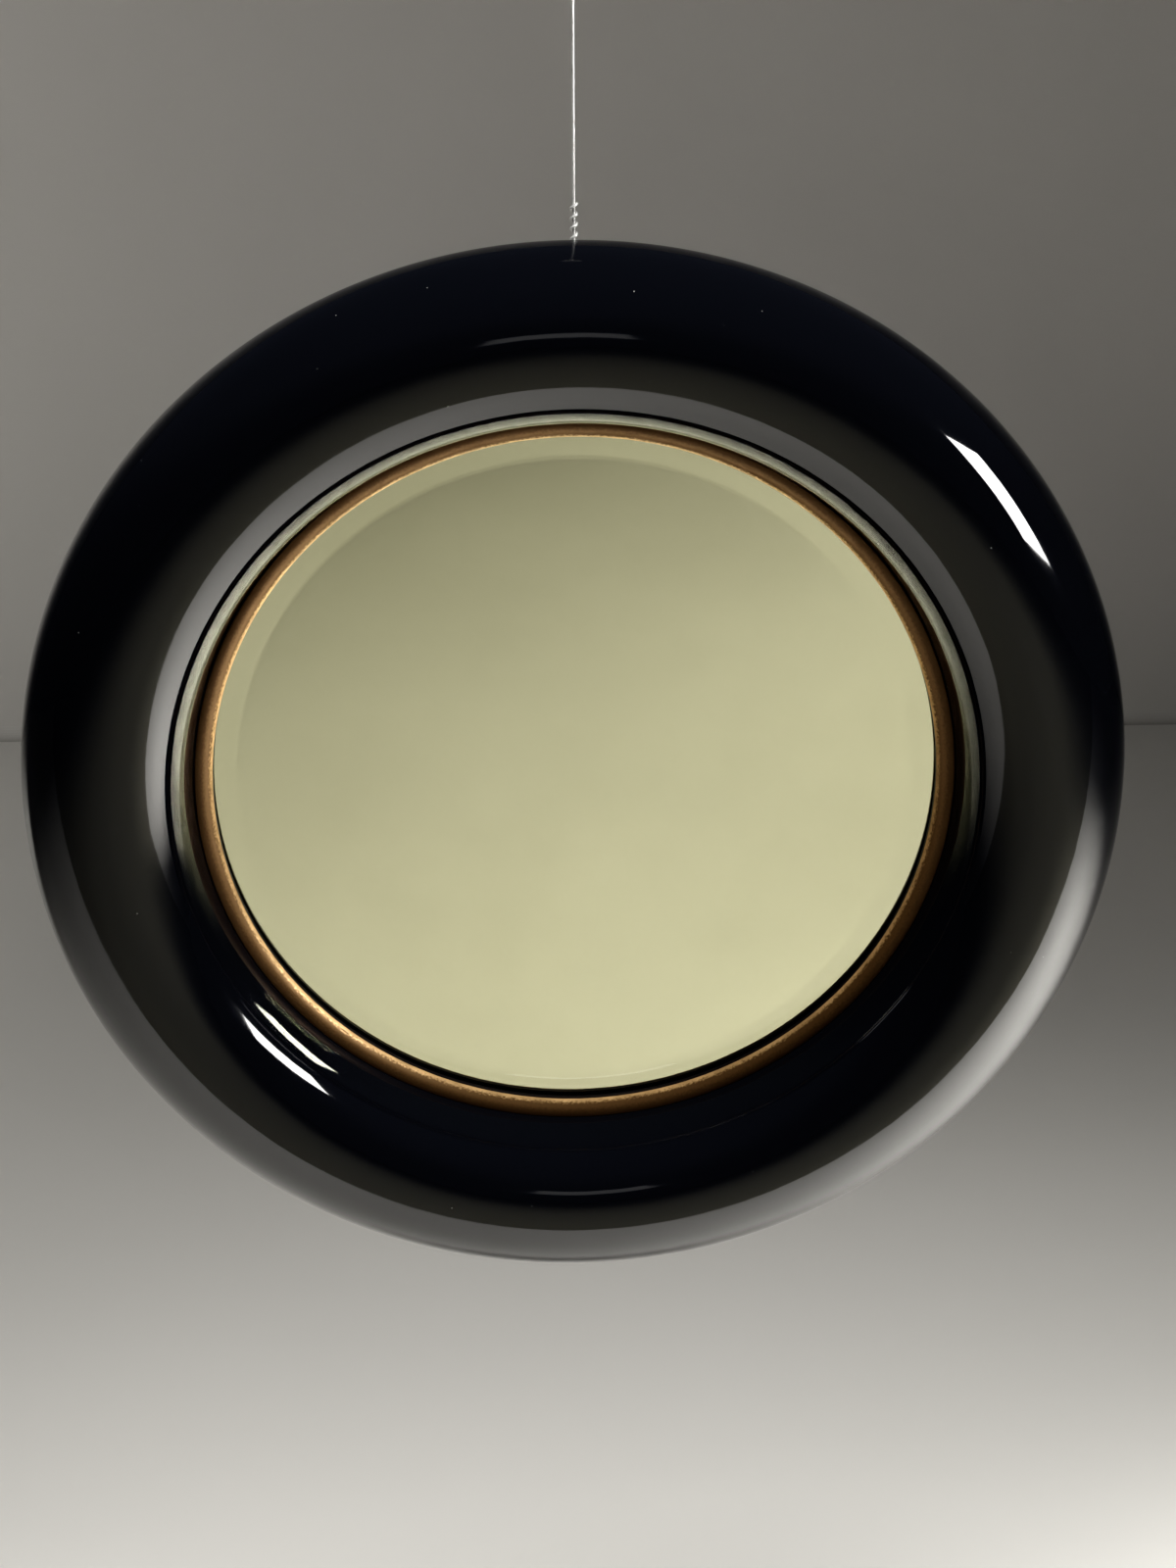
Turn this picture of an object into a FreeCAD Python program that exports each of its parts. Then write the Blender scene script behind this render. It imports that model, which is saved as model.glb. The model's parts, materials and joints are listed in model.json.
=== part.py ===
"""Round hanging mirror: a turned ring, a gilt slip, bevelled glass, a closed back and a wire."""
import FreeCAD, Part
import math
import os

import Sketcher
from FreeCAD import Placement, Rotation, Vector

# Driving dimensions in millimetres, angles in degrees. Depths run forward from the ring's flat back.
SIZES = {
    # turned ring: outer half
    "frame_radius": 300,
    "roll_radius": 46,
    # turned ring: slope, shoulder, wall, crease and bead towards the glass
    "slope_radius": 56,
    "shoulder_radius": 14.4,
    "wall_angle": 75,
    "crease_radius": 1.5,
    "slope_run": 35.83,
    "bead_height": 16,
    "bead_radius": 11,
    "crown_angle": 10,
    "edge_angle": 80,
    "edge_land": 2,
    "rebate_width": 6,
    # gilt slip
    "slip_clearance": 0.3,
    "gilt_width": 8,
    "gilt_drop": 6.4,
    "gilt_round": 6.8,
    "lip_depth": 3,
    # looking glass and what backs it
    "glass_edge_gap": 4,
    "glass_thickness": 5,
    "bevel_width": 24,
    "bevel_depth": 3,
    "glass_clearance": 0.1,
    "silver_thickness": 0.15,
    "silver_margin": 1,
    "felt_thickness": 1.1,
    "board_thickness": 6,
    "board_clearance": 0.5,
    "wedge_width": 14,
    "wedge_clearance": 0.2,
    # turn buttons
    "pivot_inset": 13,
    "button_reach": 22,
    "button_eye_radius": 6.5,
    "button_tip_radius": 4,
    "button_thickness": 1.6,
    "button_gap": 0.3,
    "pivot_clearance": 0.1,
    # round-head screws
    "screw_radius": 1.6,
    "screw_length": 16,
    "screw_tip": 3,
    "head_radius": 3.6,
    "head_height": 2.1,
    "screw_clearance": 0.05,
    # strap hanger and its ring
    "hanger_inset": 58,
    "ring_wire_radius": 1.5,
    "ring_clearance": 0.05,
    "leg_clearance": 0.5,
    "ring_corner": 3,
    "ring_side": 2,
    "strap_thickness": 1.2,
    "strap_width": 13,
    "strap_screw_first": 13,
    "strap_screw_pitch": 17,
    "strap_tail": 8,
    # felt bumpers
    "bumper_radius": 9,
    "bumper_round": 1.5,
    "bumper_inset": 38,
    # hanging wire, its loops and wound tails
    "hang_drop": 450,
    "lean_angle": 5.2,
    "wire_radius": 0.7,
    "wire_clearance": 0.2,
    "wire_gap": 0.5,
    "loop_bend": 4,
    "tail_radius": 0.6,
    "tail_gap": 0.45,
    "tail_pitch": 5,
    "tail_start": 1.5,
    "thimble_bore": 6,
    "thimble_wall": 1.7,
    "thimble_width": 5,
}

# Counts and angular places.
BUTTON_COUNT = 6
WEDGE_COUNT = 8
BUMPER_ANGLES = (225, 315)
LOWER_TAIL_TURNS = 4
UPPER_TAIL_TURNS = 3
TURN_QUARTERS = 4
TURN_SAMPLES = 48

# Places worked out from the driving dimensions.
PLACES = {
    "wall_turn": "sizes.wall_angle * 1 deg",
    "crown_turn": "sizes.crown_angle * 1 deg",
    "edge_turn": "sizes.edge_angle * 1 deg",
    # across the ring, from its crest in to the bead and the wooden sight edge
    "crest_radius": "sizes.frame_radius - sizes.roll_radius",
    "crease_reach": "crest_radius - sizes.slope_run",
    "bead_centre_radius": "crease_reach + sizes.bead_radius * sin(crown_turn)",
    "bead_centre_rise": "sizes.bead_height - sizes.bead_radius * cos(crown_turn)",
    "edge_top_radius": "bead_centre_radius - sizes.bead_radius * sin(edge_turn)",
    "edge_top_rise": "bead_centre_rise + sizes.bead_radius * cos(edge_turn)",
    "edge_radius": "edge_top_radius - edge_top_rise / tan(edge_turn)",
    # gilt slip, rebate and glass across
    "slip_rim_radius": "edge_radius - sizes.slip_clearance",
    "sight_radius": "edge_radius - sizes.gilt_width",
    "rebate_radius": "edge_radius + sizes.rebate_width",
    "slip_outer_radius": "rebate_radius - sizes.slip_clearance",
    "glass_radius": "rebate_radius - sizes.glass_edge_gap",
    "bevel_line_radius": "glass_radius - sizes.bevel_width",
    "silver_radius": "glass_radius - sizes.silver_margin",
    "board_radius": "rebate_radius - sizes.board_clearance",
    # the stack in the rebate, from the flat back forward to the plane of the ring's widest place
    "silver_back_depth": "sizes.board_thickness + sizes.felt_thickness",
    "glass_back_depth": "silver_back_depth + sizes.silver_thickness",
    "glass_front_depth": "glass_back_depth + sizes.glass_thickness",
    "glass_edge_depth": "glass_front_depth - sizes.bevel_depth",
    "bevel_fall": "sizes.bevel_depth * (sight_radius - bevel_line_radius) / sizes.bevel_width",
    "slip_back_depth": "glass_front_depth - bevel_fall + sizes.glass_clearance",
    "gilt_inner_depth": "slip_back_depth + sizes.lip_depth",
    "back_depth": "gilt_inner_depth + sizes.gilt_drop",
    "shelf_depth": "back_depth - sizes.edge_land",
    # ring in depth
    "back_flat_radius": "sizes.frame_radius - back_depth",
    "crest_depth": "back_depth + sizes.roll_radius",
    "crease_depth": "back_depth + sizes.bead_height",
    "edge_top_depth": "back_depth + edge_top_rise",
    # crease, from the bead's crown up into the wall
    "wall_foot_radius": "crease_reach + sizes.crease_radius * (sin(wall_turn) - sin(crown_turn))",
    "wall_foot_depth": "crease_depth + sizes.crease_radius * (cos(crown_turn) - cos(wall_turn))",
    # shoulder, tangent to the wall and to the slope below the crest
    "slope_centre_depth": "crest_depth - sizes.slope_radius",
    "wall_offset": "(crest_radius - wall_foot_radius) * sin(wall_turn)"
                   " - (slope_centre_depth - wall_foot_depth) * cos(wall_turn) - sizes.shoulder_radius",
    "shoulder_centre_reach": "sizes.slope_radius - sizes.shoulder_radius",
    "slope_turn": "wall_turn - acos(wall_offset / shoulder_centre_reach)",
    "slope_end_radius": "crest_radius - sizes.slope_radius * sin(slope_turn)",
    "slope_end_depth": "slope_centre_depth + sizes.slope_radius * cos(slope_turn)",
    "wall_top_radius": "crest_radius - shoulder_centre_reach * sin(slope_turn)"
                       " - sizes.shoulder_radius * sin(wall_turn)",
    "wall_top_depth": "slope_centre_depth + shoulder_centre_reach * cos(slope_turn)"
                      " + sizes.shoulder_radius * cos(wall_turn)",
    # cork wedges
    "wedge_height": "glass_edge_depth - glass_back_depth",
    "wedge_length": "sizes.glass_edge_gap - 2 * sizes.wedge_clearance",
    "wedge_inner_radius": "glass_radius + sizes.wedge_clearance",
    # turn button: the sides are tangent to its eye and its tip
    "pivot_radius": "rebate_radius + sizes.pivot_inset",
    "button_hole_radius": "sizes.screw_radius + sizes.pivot_clearance",
    "button_turn": "asin((sizes.button_eye_radius - sizes.button_tip_radius) / sizes.button_reach)",
    "eye_side": "sizes.button_eye_radius * cos(button_turn)",
    "eye_rise": "sizes.button_eye_radius * sin(button_turn)",
    "tip_side": "sizes.button_tip_radius * cos(button_turn)",
    "tip_rise": "sizes.button_reach + sizes.button_tip_radius * sin(button_turn)",
    "tip_end": "sizes.button_reach + sizes.button_tip_radius",
    "button_back": "sizes.button_gap + sizes.button_thickness",
    # screws
    "pilot_radius": "sizes.screw_radius + sizes.screw_clearance",
    "screw_taper": "sizes.screw_length - sizes.screw_tip",
    "head_round": "(sizes.head_radius ^ 2 + sizes.head_height ^ 2) / (2 * sizes.head_height)",
    "button_screw_back": "button_back + sizes.button_gap",
    # strap hanger: the barrel stands off the back by its own outer radius
    "hanger_height": "rebate_radius + sizes.hanger_inset",
    "barrel_bore": "sizes.ring_wire_radius + sizes.ring_clearance",
    "standoff": "barrel_bore + sizes.strap_thickness",
    "barrel_back": "2 * standoff",
    "barrel_end_drop": "sqrt(standoff ^ 2 - barrel_bore ^ 2)",
    "strap_screw_last": "sizes.strap_screw_first + sizes.strap_screw_pitch",
    "strap_length": "strap_screw_last + sizes.strap_tail",
    "hanger_screw_high": "hanger_height - sizes.strap_screw_first",
    "hanger_screw_low": "hanger_height - strap_screw_last",
    # hanger ring: leg, corners, short sides and a half-round bow
    "leg_half": "sizes.strap_width / 2 + sizes.leg_clearance",
    "bow_radius": "leg_half + sizes.ring_corner",
    "side_top": "sizes.ring_corner + sizes.ring_side",
    "bow_top": "side_top + bow_radius",
    # bumpers are as thick as the barrel
    "bumper_place_radius": "rebate_radius + sizes.bumper_inset",
    "bumper_thickness": "barrel_back",
    "bumper_flat_radius": "sizes.bumper_radius - sizes.bumper_round",
    "bumper_flat_depth": "bumper_thickness - sizes.bumper_round",
    # wire loops: one round the thimble's groove, one round the hanger ring's bow
    "groove_round": "sizes.wire_radius + sizes.wire_clearance",
    "thimble_loop": "sizes.thimble_bore + sizes.thimble_wall + groove_round",
    "thimble_half": "sizes.thimble_width / 2",
    "thimble_rim": "thimble_loop - sizes.wire_clearance",
    "groove_half": "sqrt(groove_round ^ 2 - sizes.wire_clearance ^ 2)",
    "bow_loop": "sizes.ring_wire_radius + sizes.wire_clearance + sizes.wire_radius",
    "bow_drop": "sizes.hang_drop - hanger_height - bow_top",
    "tail_coil_radius": "sizes.wire_radius + sizes.tail_gap + sizes.tail_radius",
}

STRAIGHT = None
LEFT = 1
RIGHT = -1

doc = FreeCAD.newDocument("round_mirror")


def fill_sheet(name, cells, prefix):
    """Write a column of named cells and return the sheet."""
    sheet = doc.addObject("Spreadsheet::Sheet", name)
    for row, (alias, content) in enumerate(cells.items(), start=1):
        sheet.set(f"A{row}", alias)
        sheet.set(f"B{row}", f"{prefix}{content}")
        sheet.setAlias(f"B{row}", alias)
    doc.recompute()
    return sheet


sizes = fill_sheet("sizes", SIZES, "")
places = fill_sheet("places", PLACES, "=")


def cell(alias):
    """The expression that names a cell."""
    return f"sizes.{alias}" if alias in SIZES else f"places.{alias}"


def value(alias):
    """The number in a named cell."""
    return float(sizes.get(alias) if alias in SIZES else places.get(alias))


def signed(alias):
    """Expression and number of a coordinate, where a leading minus turns it round."""
    if alias.startswith("-"):
        return f"-{cell(alias[1:])}", -value(alias[1:])
    return cell(alias), value(alias)


def fix_point(sketch, geometry, end, corner):
    """Tie one end of an edge to the cells of its two coordinates, or to an axis where one is empty."""
    for kind, axis, alias in (("DistanceX", -2, corner[0]), ("DistanceY", -1, corner[1])):
        if not alias:
            sketch.addConstraint(Sketcher.Constraint("PointOnObject", geometry, end, axis))
            continue
        expression, number = signed(alias)
        index = sketch.addConstraint(Sketcher.Constraint(kind, -1, 1, geometry, end, number))
        sketch.setExpression(f"Constraints[{index}]", expression)


def corner_point(corner):
    """The corner's place on the sketch plane."""
    return Vector(*(signed(alias)[1] if alias else 0 for alias in corner[:2]), 0)


def arc_between(start, end, radius, turn):
    """Arc of up to a half circle from start to end, bending left or right."""
    middle = (start + end) / 2
    chord = end - start
    across = Vector(-chord.y, chord.x, 0).normalize()
    reach = math.sqrt(max(radius ** 2 - (chord.Length / 2) ** 2, 0))
    centre = middle + across * (reach * turn)
    angles = [math.atan2(point.y - centre.y, point.x - centre.x) for point in (start, end)]
    first, last = angles if turn == LEFT else angles[::-1]
    return Part.ArcOfCircle(Part.Circle(centre, Vector(0, 0, 1), radius), first, last)


def new_sketch(body, name, role):
    """An empty sketch on one of the body's own origin planes."""
    sketch = body.newObject("Sketcher::SketchObject", name)
    plane = next(item for item in body.Origin.OriginFeatures if item.Role == role)
    sketch.AttachmentSupport = [(plane, "")]
    sketch.MapMode = "FlatFace"
    return sketch


def add_outline(sketch, corners):
    """Closed outline: each corner is (x cell, y cell, edge that leaves it)."""
    points = [corner_point(corner) for corner in corners]
    starts = []
    ends = []
    for index, (_, _, edge) in enumerate(corners):
        start, end = points[index], points[(index + 1) % len(points)]
        if edge is STRAIGHT:
            geometry = sketch.addGeometry(Part.LineSegment(start, end), False)
            first, last = 1, 2
        else:
            alias, turn = edge
            geometry = sketch.addGeometry(arc_between(start, end, value(alias), turn), False)
            first, last = (1, 2) if turn == LEFT else (2, 1)
            radius = sketch.addConstraint(Sketcher.Constraint("Radius", geometry, value(alias)))
            sketch.setExpression(f"Constraints[{radius}]", cell(alias))
        starts.append((geometry, first))
        ends.append((geometry, last))
    for index, corner in enumerate(corners):
        sketch.addConstraint(Sketcher.Constraint("Coincident", *ends[index - 1], *starts[index]))
        fix_point(sketch, *starts[index], corner)


def add_circle(sketch, radius_alias, corner=("", "")):
    """A circle of a named radius round a corner."""
    circle = Part.Circle(corner_point(corner), Vector(0, 0, 1), value(radius_alias))
    geometry = sketch.addGeometry(circle, False)
    fix_point(sketch, geometry, 3, corner)
    radius = sketch.addConstraint(Sketcher.Constraint("Radius", geometry, value(radius_alias)))
    sketch.setExpression(f"Constraints[{radius}]", cell(radius_alias))


def new_body(label):
    """An empty body under its own name."""
    body = doc.addObject("PartDesign::Body", label)
    body.Label = label
    return body


def turned(label, corners):
    """A body turned about the Y axis from an outline of (radius, depth) corners."""
    body = new_body(label)
    sketch = new_sketch(body, f"{label}_section", "XY_Plane")
    add_outline(sketch, corners)
    turn = body.newObject("PartDesign::Revolution", f"{label}_turn")
    turn.Profile = sketch
    turn.ReferenceAxis = (sketch, ["V_Axis"])
    turn.Angle = 360
    doc.recompute()
    return body


def padded(label, sketch, body, thickness_alias, both_sides=False):
    """Pad a sketch by a named thickness."""
    pad = body.newObject("PartDesign::Pad", f"{label}_pad")
    pad.Profile = sketch
    pad.setExpression("Length", cell(thickness_alias))
    pad.Midplane = both_sides
    doc.recompute()
    return pad


def drilled(label, body, depth_alias, corners, radius_alias):
    """Drill blind holes forward from the flat back, and check that they cut."""
    before = body.Shape.Volume
    sketch = new_sketch(body, f"{label}_holes", "XZ_Plane")
    for corner in corners:
        add_circle(sketch, radius_alias, corner)
    pocket = body.newObject("PartDesign::Pocket", f"{label}_drill")
    pocket.Profile = sketch
    pocket.setExpression("Length", cell(depth_alias))
    doc.recompute()
    if body.Shape.Volume >= before:
        raise ValueError(f"{label}: the holes cut nothing")
    return pocket


def mirror_place(x, depth, height, spin=0):
    """Placement of a piece on the mirror: across, forward of the back, above the centre, turned.

    The mirror leans about the hanger ring's leg, as it hangs when nothing but the wire holds it.
    """
    base = Vector(-x, -value("standoff") - depth, height - value("hang_drop"))
    about_z = Rotation(Vector(0, 0, 1), 180)
    upright = Placement(base, Rotation(Vector(0, 1, 0), spin) * about_z)
    leg = Vector(0, 0, value("hanger_height") - value("hang_drop"))
    return Placement(Vector(), Rotation(Vector(1, 0, 0), value("lean_angle")), leg) * upright


def around(radius, angle):
    """Across and up on a circle round the mirror's centre."""
    turn = math.radians(angle)
    return radius * math.cos(turn), radius * math.sin(turn)


def grouped(label, members):
    """Separate solids that share one node."""
    group = doc.addObject("Part::Compound", label)
    group.Label = label
    group.Links = members
    doc.recompute()
    return group


def make_frame_ring():
    """Turned ring: back, roll, crest, slope, shoulder, wall, crease, bead, sight edge and rebate."""
    body = turned("frame_ring", [
        ("rebate_radius", "", STRAIGHT),
        ("back_flat_radius", "", ("back_depth", LEFT)),
        ("frame_radius", "back_depth", ("roll_radius", LEFT)),
        ("crest_radius", "crest_depth", ("slope_radius", LEFT)),
        ("slope_end_radius", "slope_end_depth", ("shoulder_radius", LEFT)),
        ("wall_top_radius", "wall_top_depth", STRAIGHT),
        ("wall_foot_radius", "wall_foot_depth", ("crease_radius", RIGHT)),
        ("crease_reach", "crease_depth", ("bead_radius", LEFT)),
        ("edge_top_radius", "edge_top_depth", STRAIGHT),
        ("edge_radius", "back_depth", STRAIGHT),
        ("edge_radius", "shelf_depth", STRAIGHT),
        ("rebate_radius", "shelf_depth", STRAIGHT),
    ])
    drilled("hanger", body, "screw_length",
            [("", "hanger_screw_high"), ("", "hanger_screw_low")], "pilot_radius")
    pocket = drilled("button", body, "screw_length", [("pivot_radius", "")], "pilot_radius")
    pattern = body.newObject("PartDesign::PolarPattern", "button_holes_round")
    pattern.Originals = [pocket]
    axis = next(item for item in body.Origin.OriginFeatures if item.Role == "Y_Axis")
    pattern.Axis = (axis, [""])
    pattern.Angle = 360
    pattern.Occurrences = BUTTON_COUNT
    body.Tip = pattern
    body.Placement = mirror_place(0, 0, 0)
    return body


def make_gilt_slip():
    """Gilded slip: flange behind the wooden edge, sloping bead and a lip in front of the glass."""
    body = turned("gilt_slip", [
        ("slip_outer_radius", "slip_back_depth", STRAIGHT),
        ("slip_outer_radius", "shelf_depth", STRAIGHT),
        ("slip_rim_radius", "shelf_depth", STRAIGHT),
        ("slip_rim_radius", "back_depth", ("gilt_round", LEFT)),
        ("sight_radius", "gilt_inner_depth", STRAIGHT),
        ("sight_radius", "slip_back_depth", STRAIGHT),
    ])
    body.Placement = mirror_place(0, 0, 0)
    return body


def make_mirror_glass():
    """Round plate with a wide bevel, held at its bevel by the slip."""
    body = turned("mirror_glass", [
        ("", "glass_back_depth", STRAIGHT),
        ("glass_radius", "glass_back_depth", STRAIGHT),
        ("glass_radius", "glass_edge_depth", STRAIGHT),
        ("bevel_line_radius", "glass_front_depth", STRAIGHT),
        ("", "glass_front_depth", STRAIGHT),
    ])
    body.Placement = mirror_place(0, 0, 0)
    return body


def make_disc(label, radius_alias, back_alias, front_alias):
    """A flat disc between two depths."""
    body = turned(label, [
        ("", back_alias, STRAIGHT),
        (radius_alias, back_alias, STRAIGHT),
        (radius_alias, front_alias, STRAIGHT),
        ("", front_alias, STRAIGHT),
    ])
    body.Placement = mirror_place(0, 0, 0)
    return body


def make_glass_wedges():
    """Cork wedges between the glass's edge and the rebate."""
    wedges = []
    for index in range(WEDGE_COUNT):
        wedge = doc.addObject("Part::Box", f"glass_wedge_{index + 1}")
        wedge.setExpression("Length", cell("wedge_width"))
        wedge.setExpression("Width", cell("wedge_height"))
        wedge.setExpression("Height", cell("wedge_length"))
        turn = Placement(Vector(0, 0, 0), Rotation(Vector(0, 1, 0), 360 * (index + 0.5) / WEDGE_COUNT))
        seat = Vector(-value("wedge_width") / 2, value("glass_back_depth"), value("wedge_inner_radius"))
        wedge.Placement = mirror_place(0, 0, 0) * turn * Placement(seat, Rotation())
        wedges.append(wedge)
    return grouped("glass_wedges", wedges)


def make_turn_button(number):
    """Teardrop plate that turns on its screw and laps the back board."""
    label = f"turn_button_{number}"
    body = new_body(label)
    sketch = new_sketch(body, f"{label}_outline", "XZ_Plane")
    add_outline(sketch, [
        ("", "-button_eye_radius", ("button_eye_radius", LEFT)),
        ("eye_side", "eye_rise", STRAIGHT),
        ("tip_side", "tip_rise", ("button_tip_radius", LEFT)),
        ("", "tip_end", ("button_tip_radius", LEFT)),
        ("-tip_side", "tip_rise", STRAIGHT),
        ("-eye_side", "eye_rise", ("button_eye_radius", LEFT)),
    ])
    add_circle(sketch, "button_hole_radius")
    padded(label, sketch, body, "button_thickness")
    angle = 360 * (number - 1) / BUTTON_COUNT
    x, height = around(value("pivot_radius"), angle)
    body.Placement = mirror_place(x, -value("button_gap"), height, angle + 90)
    return body


def make_screw(name, x, depth, height):
    """Round-head screw, driven forward from the given depth."""
    body = turned(name, [
        ("", "-head_height", ("head_round", LEFT)),
        ("head_radius", "", STRAIGHT),
        ("screw_radius", "", STRAIGHT),
        ("screw_radius", "screw_taper", STRAIGHT),
        ("", "screw_length", STRAIGHT),
    ])
    body.Placement = mirror_place(x, depth, height)
    return body


def make_turn_button_screws():
    """One screw through each turn button."""
    screws = []
    for index in range(BUTTON_COUNT):
        x, height = around(value("pivot_radius"), 360 * index / BUTTON_COUNT)
        screws.append(make_screw(f"button_screw_{index + 1}", x, -value("button_screw_back"), height))
    return grouped("turn_button_screws", screws)


def make_hanger_strap():
    """Strap folded round the ring's leg, with two screw holes in its plate."""
    body = new_body("hanger_strap")
    sketch = new_sketch(body, "hanger_strap_side", "YZ_Plane")
    add_outline(sketch, [
        ("", "-strap_length", STRAIGHT),
        ("", "", ("standoff", LEFT)),
        ("-standoff", "standoff", ("standoff", LEFT)),
        ("-barrel_back", "", ("standoff", LEFT)),
        ("-strap_thickness", "-barrel_end_drop", STRAIGHT),
        ("-strap_thickness", "-strap_length", STRAIGHT),
    ])
    add_circle(sketch, "barrel_bore", ("-standoff", ""))
    padded("hanger_strap", sketch, body, "strap_width", True)
    before = body.Shape.Volume
    holes = new_sketch(body, "hanger_strap_holes", "XZ_Plane")
    for alias in ("-strap_screw_first", "-strap_screw_last"):
        add_circle(holes, "pilot_radius", ("", alias))
    pocket = body.newObject("PartDesign::Pocket", "hanger_strap_drill")
    pocket.Profile = holes
    pocket.setExpression("Length", cell("barrel_back"))
    pocket.Reversed = True
    doc.recompute()
    if body.Shape.Volume >= before:
        raise ValueError("hanger_strap: the holes cut nothing")
    body.Placement = mirror_place(0, 0, value("hanger_height"))
    return body


def make_hanger_screws():
    """Two screws through the strap's plate."""
    heights = (value("hanger_screw_high"), value("hanger_screw_low"))
    screws = [make_screw(f"hanger_screw_{index}", 0, -value("strap_thickness"), height)
              for index, height in enumerate(heights, start=1)]
    return grouped("hanger_screws", screws)


def make_hanger_ring():
    """D-ring bent from round wire: a straight leg in the strap's barrel and a half-round bow."""
    body = new_body("hanger_ring")
    path = new_sketch(body, "hanger_ring_path", "XZ_Plane")
    add_outline(path, [
        ("", "", STRAIGHT),
        ("leg_half", "", ("ring_corner", LEFT)),
        ("bow_radius", "ring_corner", STRAIGHT),
        ("bow_radius", "side_top", ("bow_radius", LEFT)),
        ("", "bow_top", ("bow_radius", LEFT)),
        ("-bow_radius", "side_top", STRAIGHT),
        ("-bow_radius", "ring_corner", ("ring_corner", LEFT)),
        ("-leg_half", "", STRAIGHT),
    ])
    section = new_sketch(body, "hanger_ring_section", "YZ_Plane")
    add_circle(section, "ring_wire_radius")
    pipe = body.newObject("PartDesign::AdditivePipe", "hanger_ring_pipe")
    pipe.Profile = section
    pipe.Spine = path
    doc.recompute()
    height = value("hanger_height") - value("hang_drop")
    body.Placement = Placement(Vector(0, 0, height), Rotation())
    return body


def make_wall_bumpers():
    """Felt bumpers low on the back, as thick as the hanger."""
    bumpers = []
    for index, angle in enumerate(BUMPER_ANGLES, start=1):
        body = turned(f"wall_bumper_{index}", [
            ("", "-bumper_thickness", STRAIGHT),
            ("bumper_flat_radius", "-bumper_thickness", ("bumper_round", LEFT)),
            ("bumper_radius", "-bumper_flat_depth", STRAIGHT),
            ("bumper_radius", "", STRAIGHT),
            ("", "", STRAIGHT),
        ])
        x, height = around(value("bumper_place_radius"), angle)
        body.Placement = mirror_place(x, 0, height)
        bumpers.append(body)
    return grouped("wall_bumpers", bumpers)


def make_hanging_thimble():
    """Eye with a plain bore and a half-round groove that carries the wire's top loop."""
    return turned("hanging_thimble", [
        ("thimble_bore", "-thimble_half", STRAIGHT),
        ("thimble_rim", "-thimble_half", STRAIGHT),
        ("thimble_rim", "-groove_half", ("groove_round", RIGHT)),
        ("thimble_rim", "groove_half", STRAIGHT),
        ("thimble_rim", "thimble_half", STRAIGHT),
        ("thimble_bore", "thimble_half", STRAIGHT),
    ])


def loop_foot(loop):
    """How far from a loop's centre the wire leaves its straight run."""
    return math.sqrt(loop ** 2 + 2 * loop * value("loop_bend"))


def loop_edges(centre, loop, across, up):
    """Edges of one loop in the plane of across and Z, from its free end to the straight run on side up."""
    bend = value("loop_bend")
    foot = loop_foot(loop)
    end_side = 2 * value("wire_radius") + value("wire_gap")
    along = Vector(0, 0, up)
    end = along * math.sqrt(loop ** 2 - end_side ** 2) - across * end_side
    far = along * -loop
    bend_centre = across * bend + along * foot
    tangent = bend_centre * (loop / (loop + bend))
    side = across * -loop
    opposite = across * loop
    join = along * foot
    halfway = (tangent + join) / 2 - bend_centre
    bend_middle = bend_centre + halfway * (bend / halfway.Length)
    arcs = [(end, side, far), (far, opposite, tangent), (tangent, bend_middle, join)]
    return [Part.Arc(*(centre + point for point in arc)).toShape() for arc in arcs], centre + join


def tube(edges, radius):
    """Round tube along edges that follow each other tangentially."""
    path = Part.Wire(edges)
    first = edges[0]
    start = first.valueAt(first.FirstParameter)
    direction = first.tangentAt(first.FirstParameter)
    section = Part.Wire([Part.makeCircle(radius, start, direction)])
    solid = path.makePipeShell([section], True, False)
    expected = math.pi * radius ** 2 * path.Length
    print(f"tube length {path.Length:.2f}, volume share {solid.Volume / expected:.4f}")
    return solid


def add_shape(label, shape):
    """A sub-part whose shape is set directly."""
    part = doc.addObject("Part::Feature", label)
    part.Label = label
    part.Shape = shape
    part.Placement = Placement()
    return part


def make_hanging_wire():
    """One wire: loop round the thimble, straight run, loop round the hanger ring's bow."""
    bow = Vector(0, 0, -value("bow_drop"))
    upper, top = loop_edges(Vector(), value("thimble_loop"), Vector(1, 0, 0), -1)
    lower, foot = loop_edges(bow, value("bow_loop"), Vector(0, 1, 0), 1)
    run = Part.LineSegment(top, foot).toShape()
    return add_shape("hanging_wire", tube(upper + [run] + lower[::-1], value("wire_radius")))


def bent_edge(start, direction, end):
    """Arc from start to end that leaves in the given direction."""
    chord = end - start
    along = chord * (1 / chord.Length)
    across = direction - along * direction.dot(along)
    across.normalize()
    half_turn = math.acos(min(direction.dot(along), 1))
    rise = chord.Length / 2 * math.tan(half_turn / 2)
    return Part.Arc(start, (start + end) / 2 + across * rise, end).toShape()


def biarc(start, start_direction, end, end_direction):
    """Two arcs that join two points with the given directions."""
    span = end - start
    both = start_direction + end_direction
    square = 2 * (1 - start_direction.dot(end_direction))
    linear = 2 * span.dot(both)
    reach = (math.sqrt(linear ** 2 + 4 * square * span.dot(span)) - linear) / (2 * square)
    joint = (start + start_direction * reach + end - end_direction * reach) / 2
    first = bent_edge(start, start_direction, joint)
    leaving = first.tangentAt(first.LastParameter)
    return [first, bent_edge(joint, leaving, end)]


def least_gap(edges, turns, radius):
    """Clear distance between points of a wound tube that lie half a turn or more apart."""
    points = Part.Wire(edges).discretize(Number=turns * TURN_SAMPLES + 1)
    apart = TURN_SAMPLES // 2
    spans = [points[late].distanceToPoint(points[early])
             for late in range(apart, len(points))
             for early in range(late - apart + 1)]
    return min(spans) - 2 * radius


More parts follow.
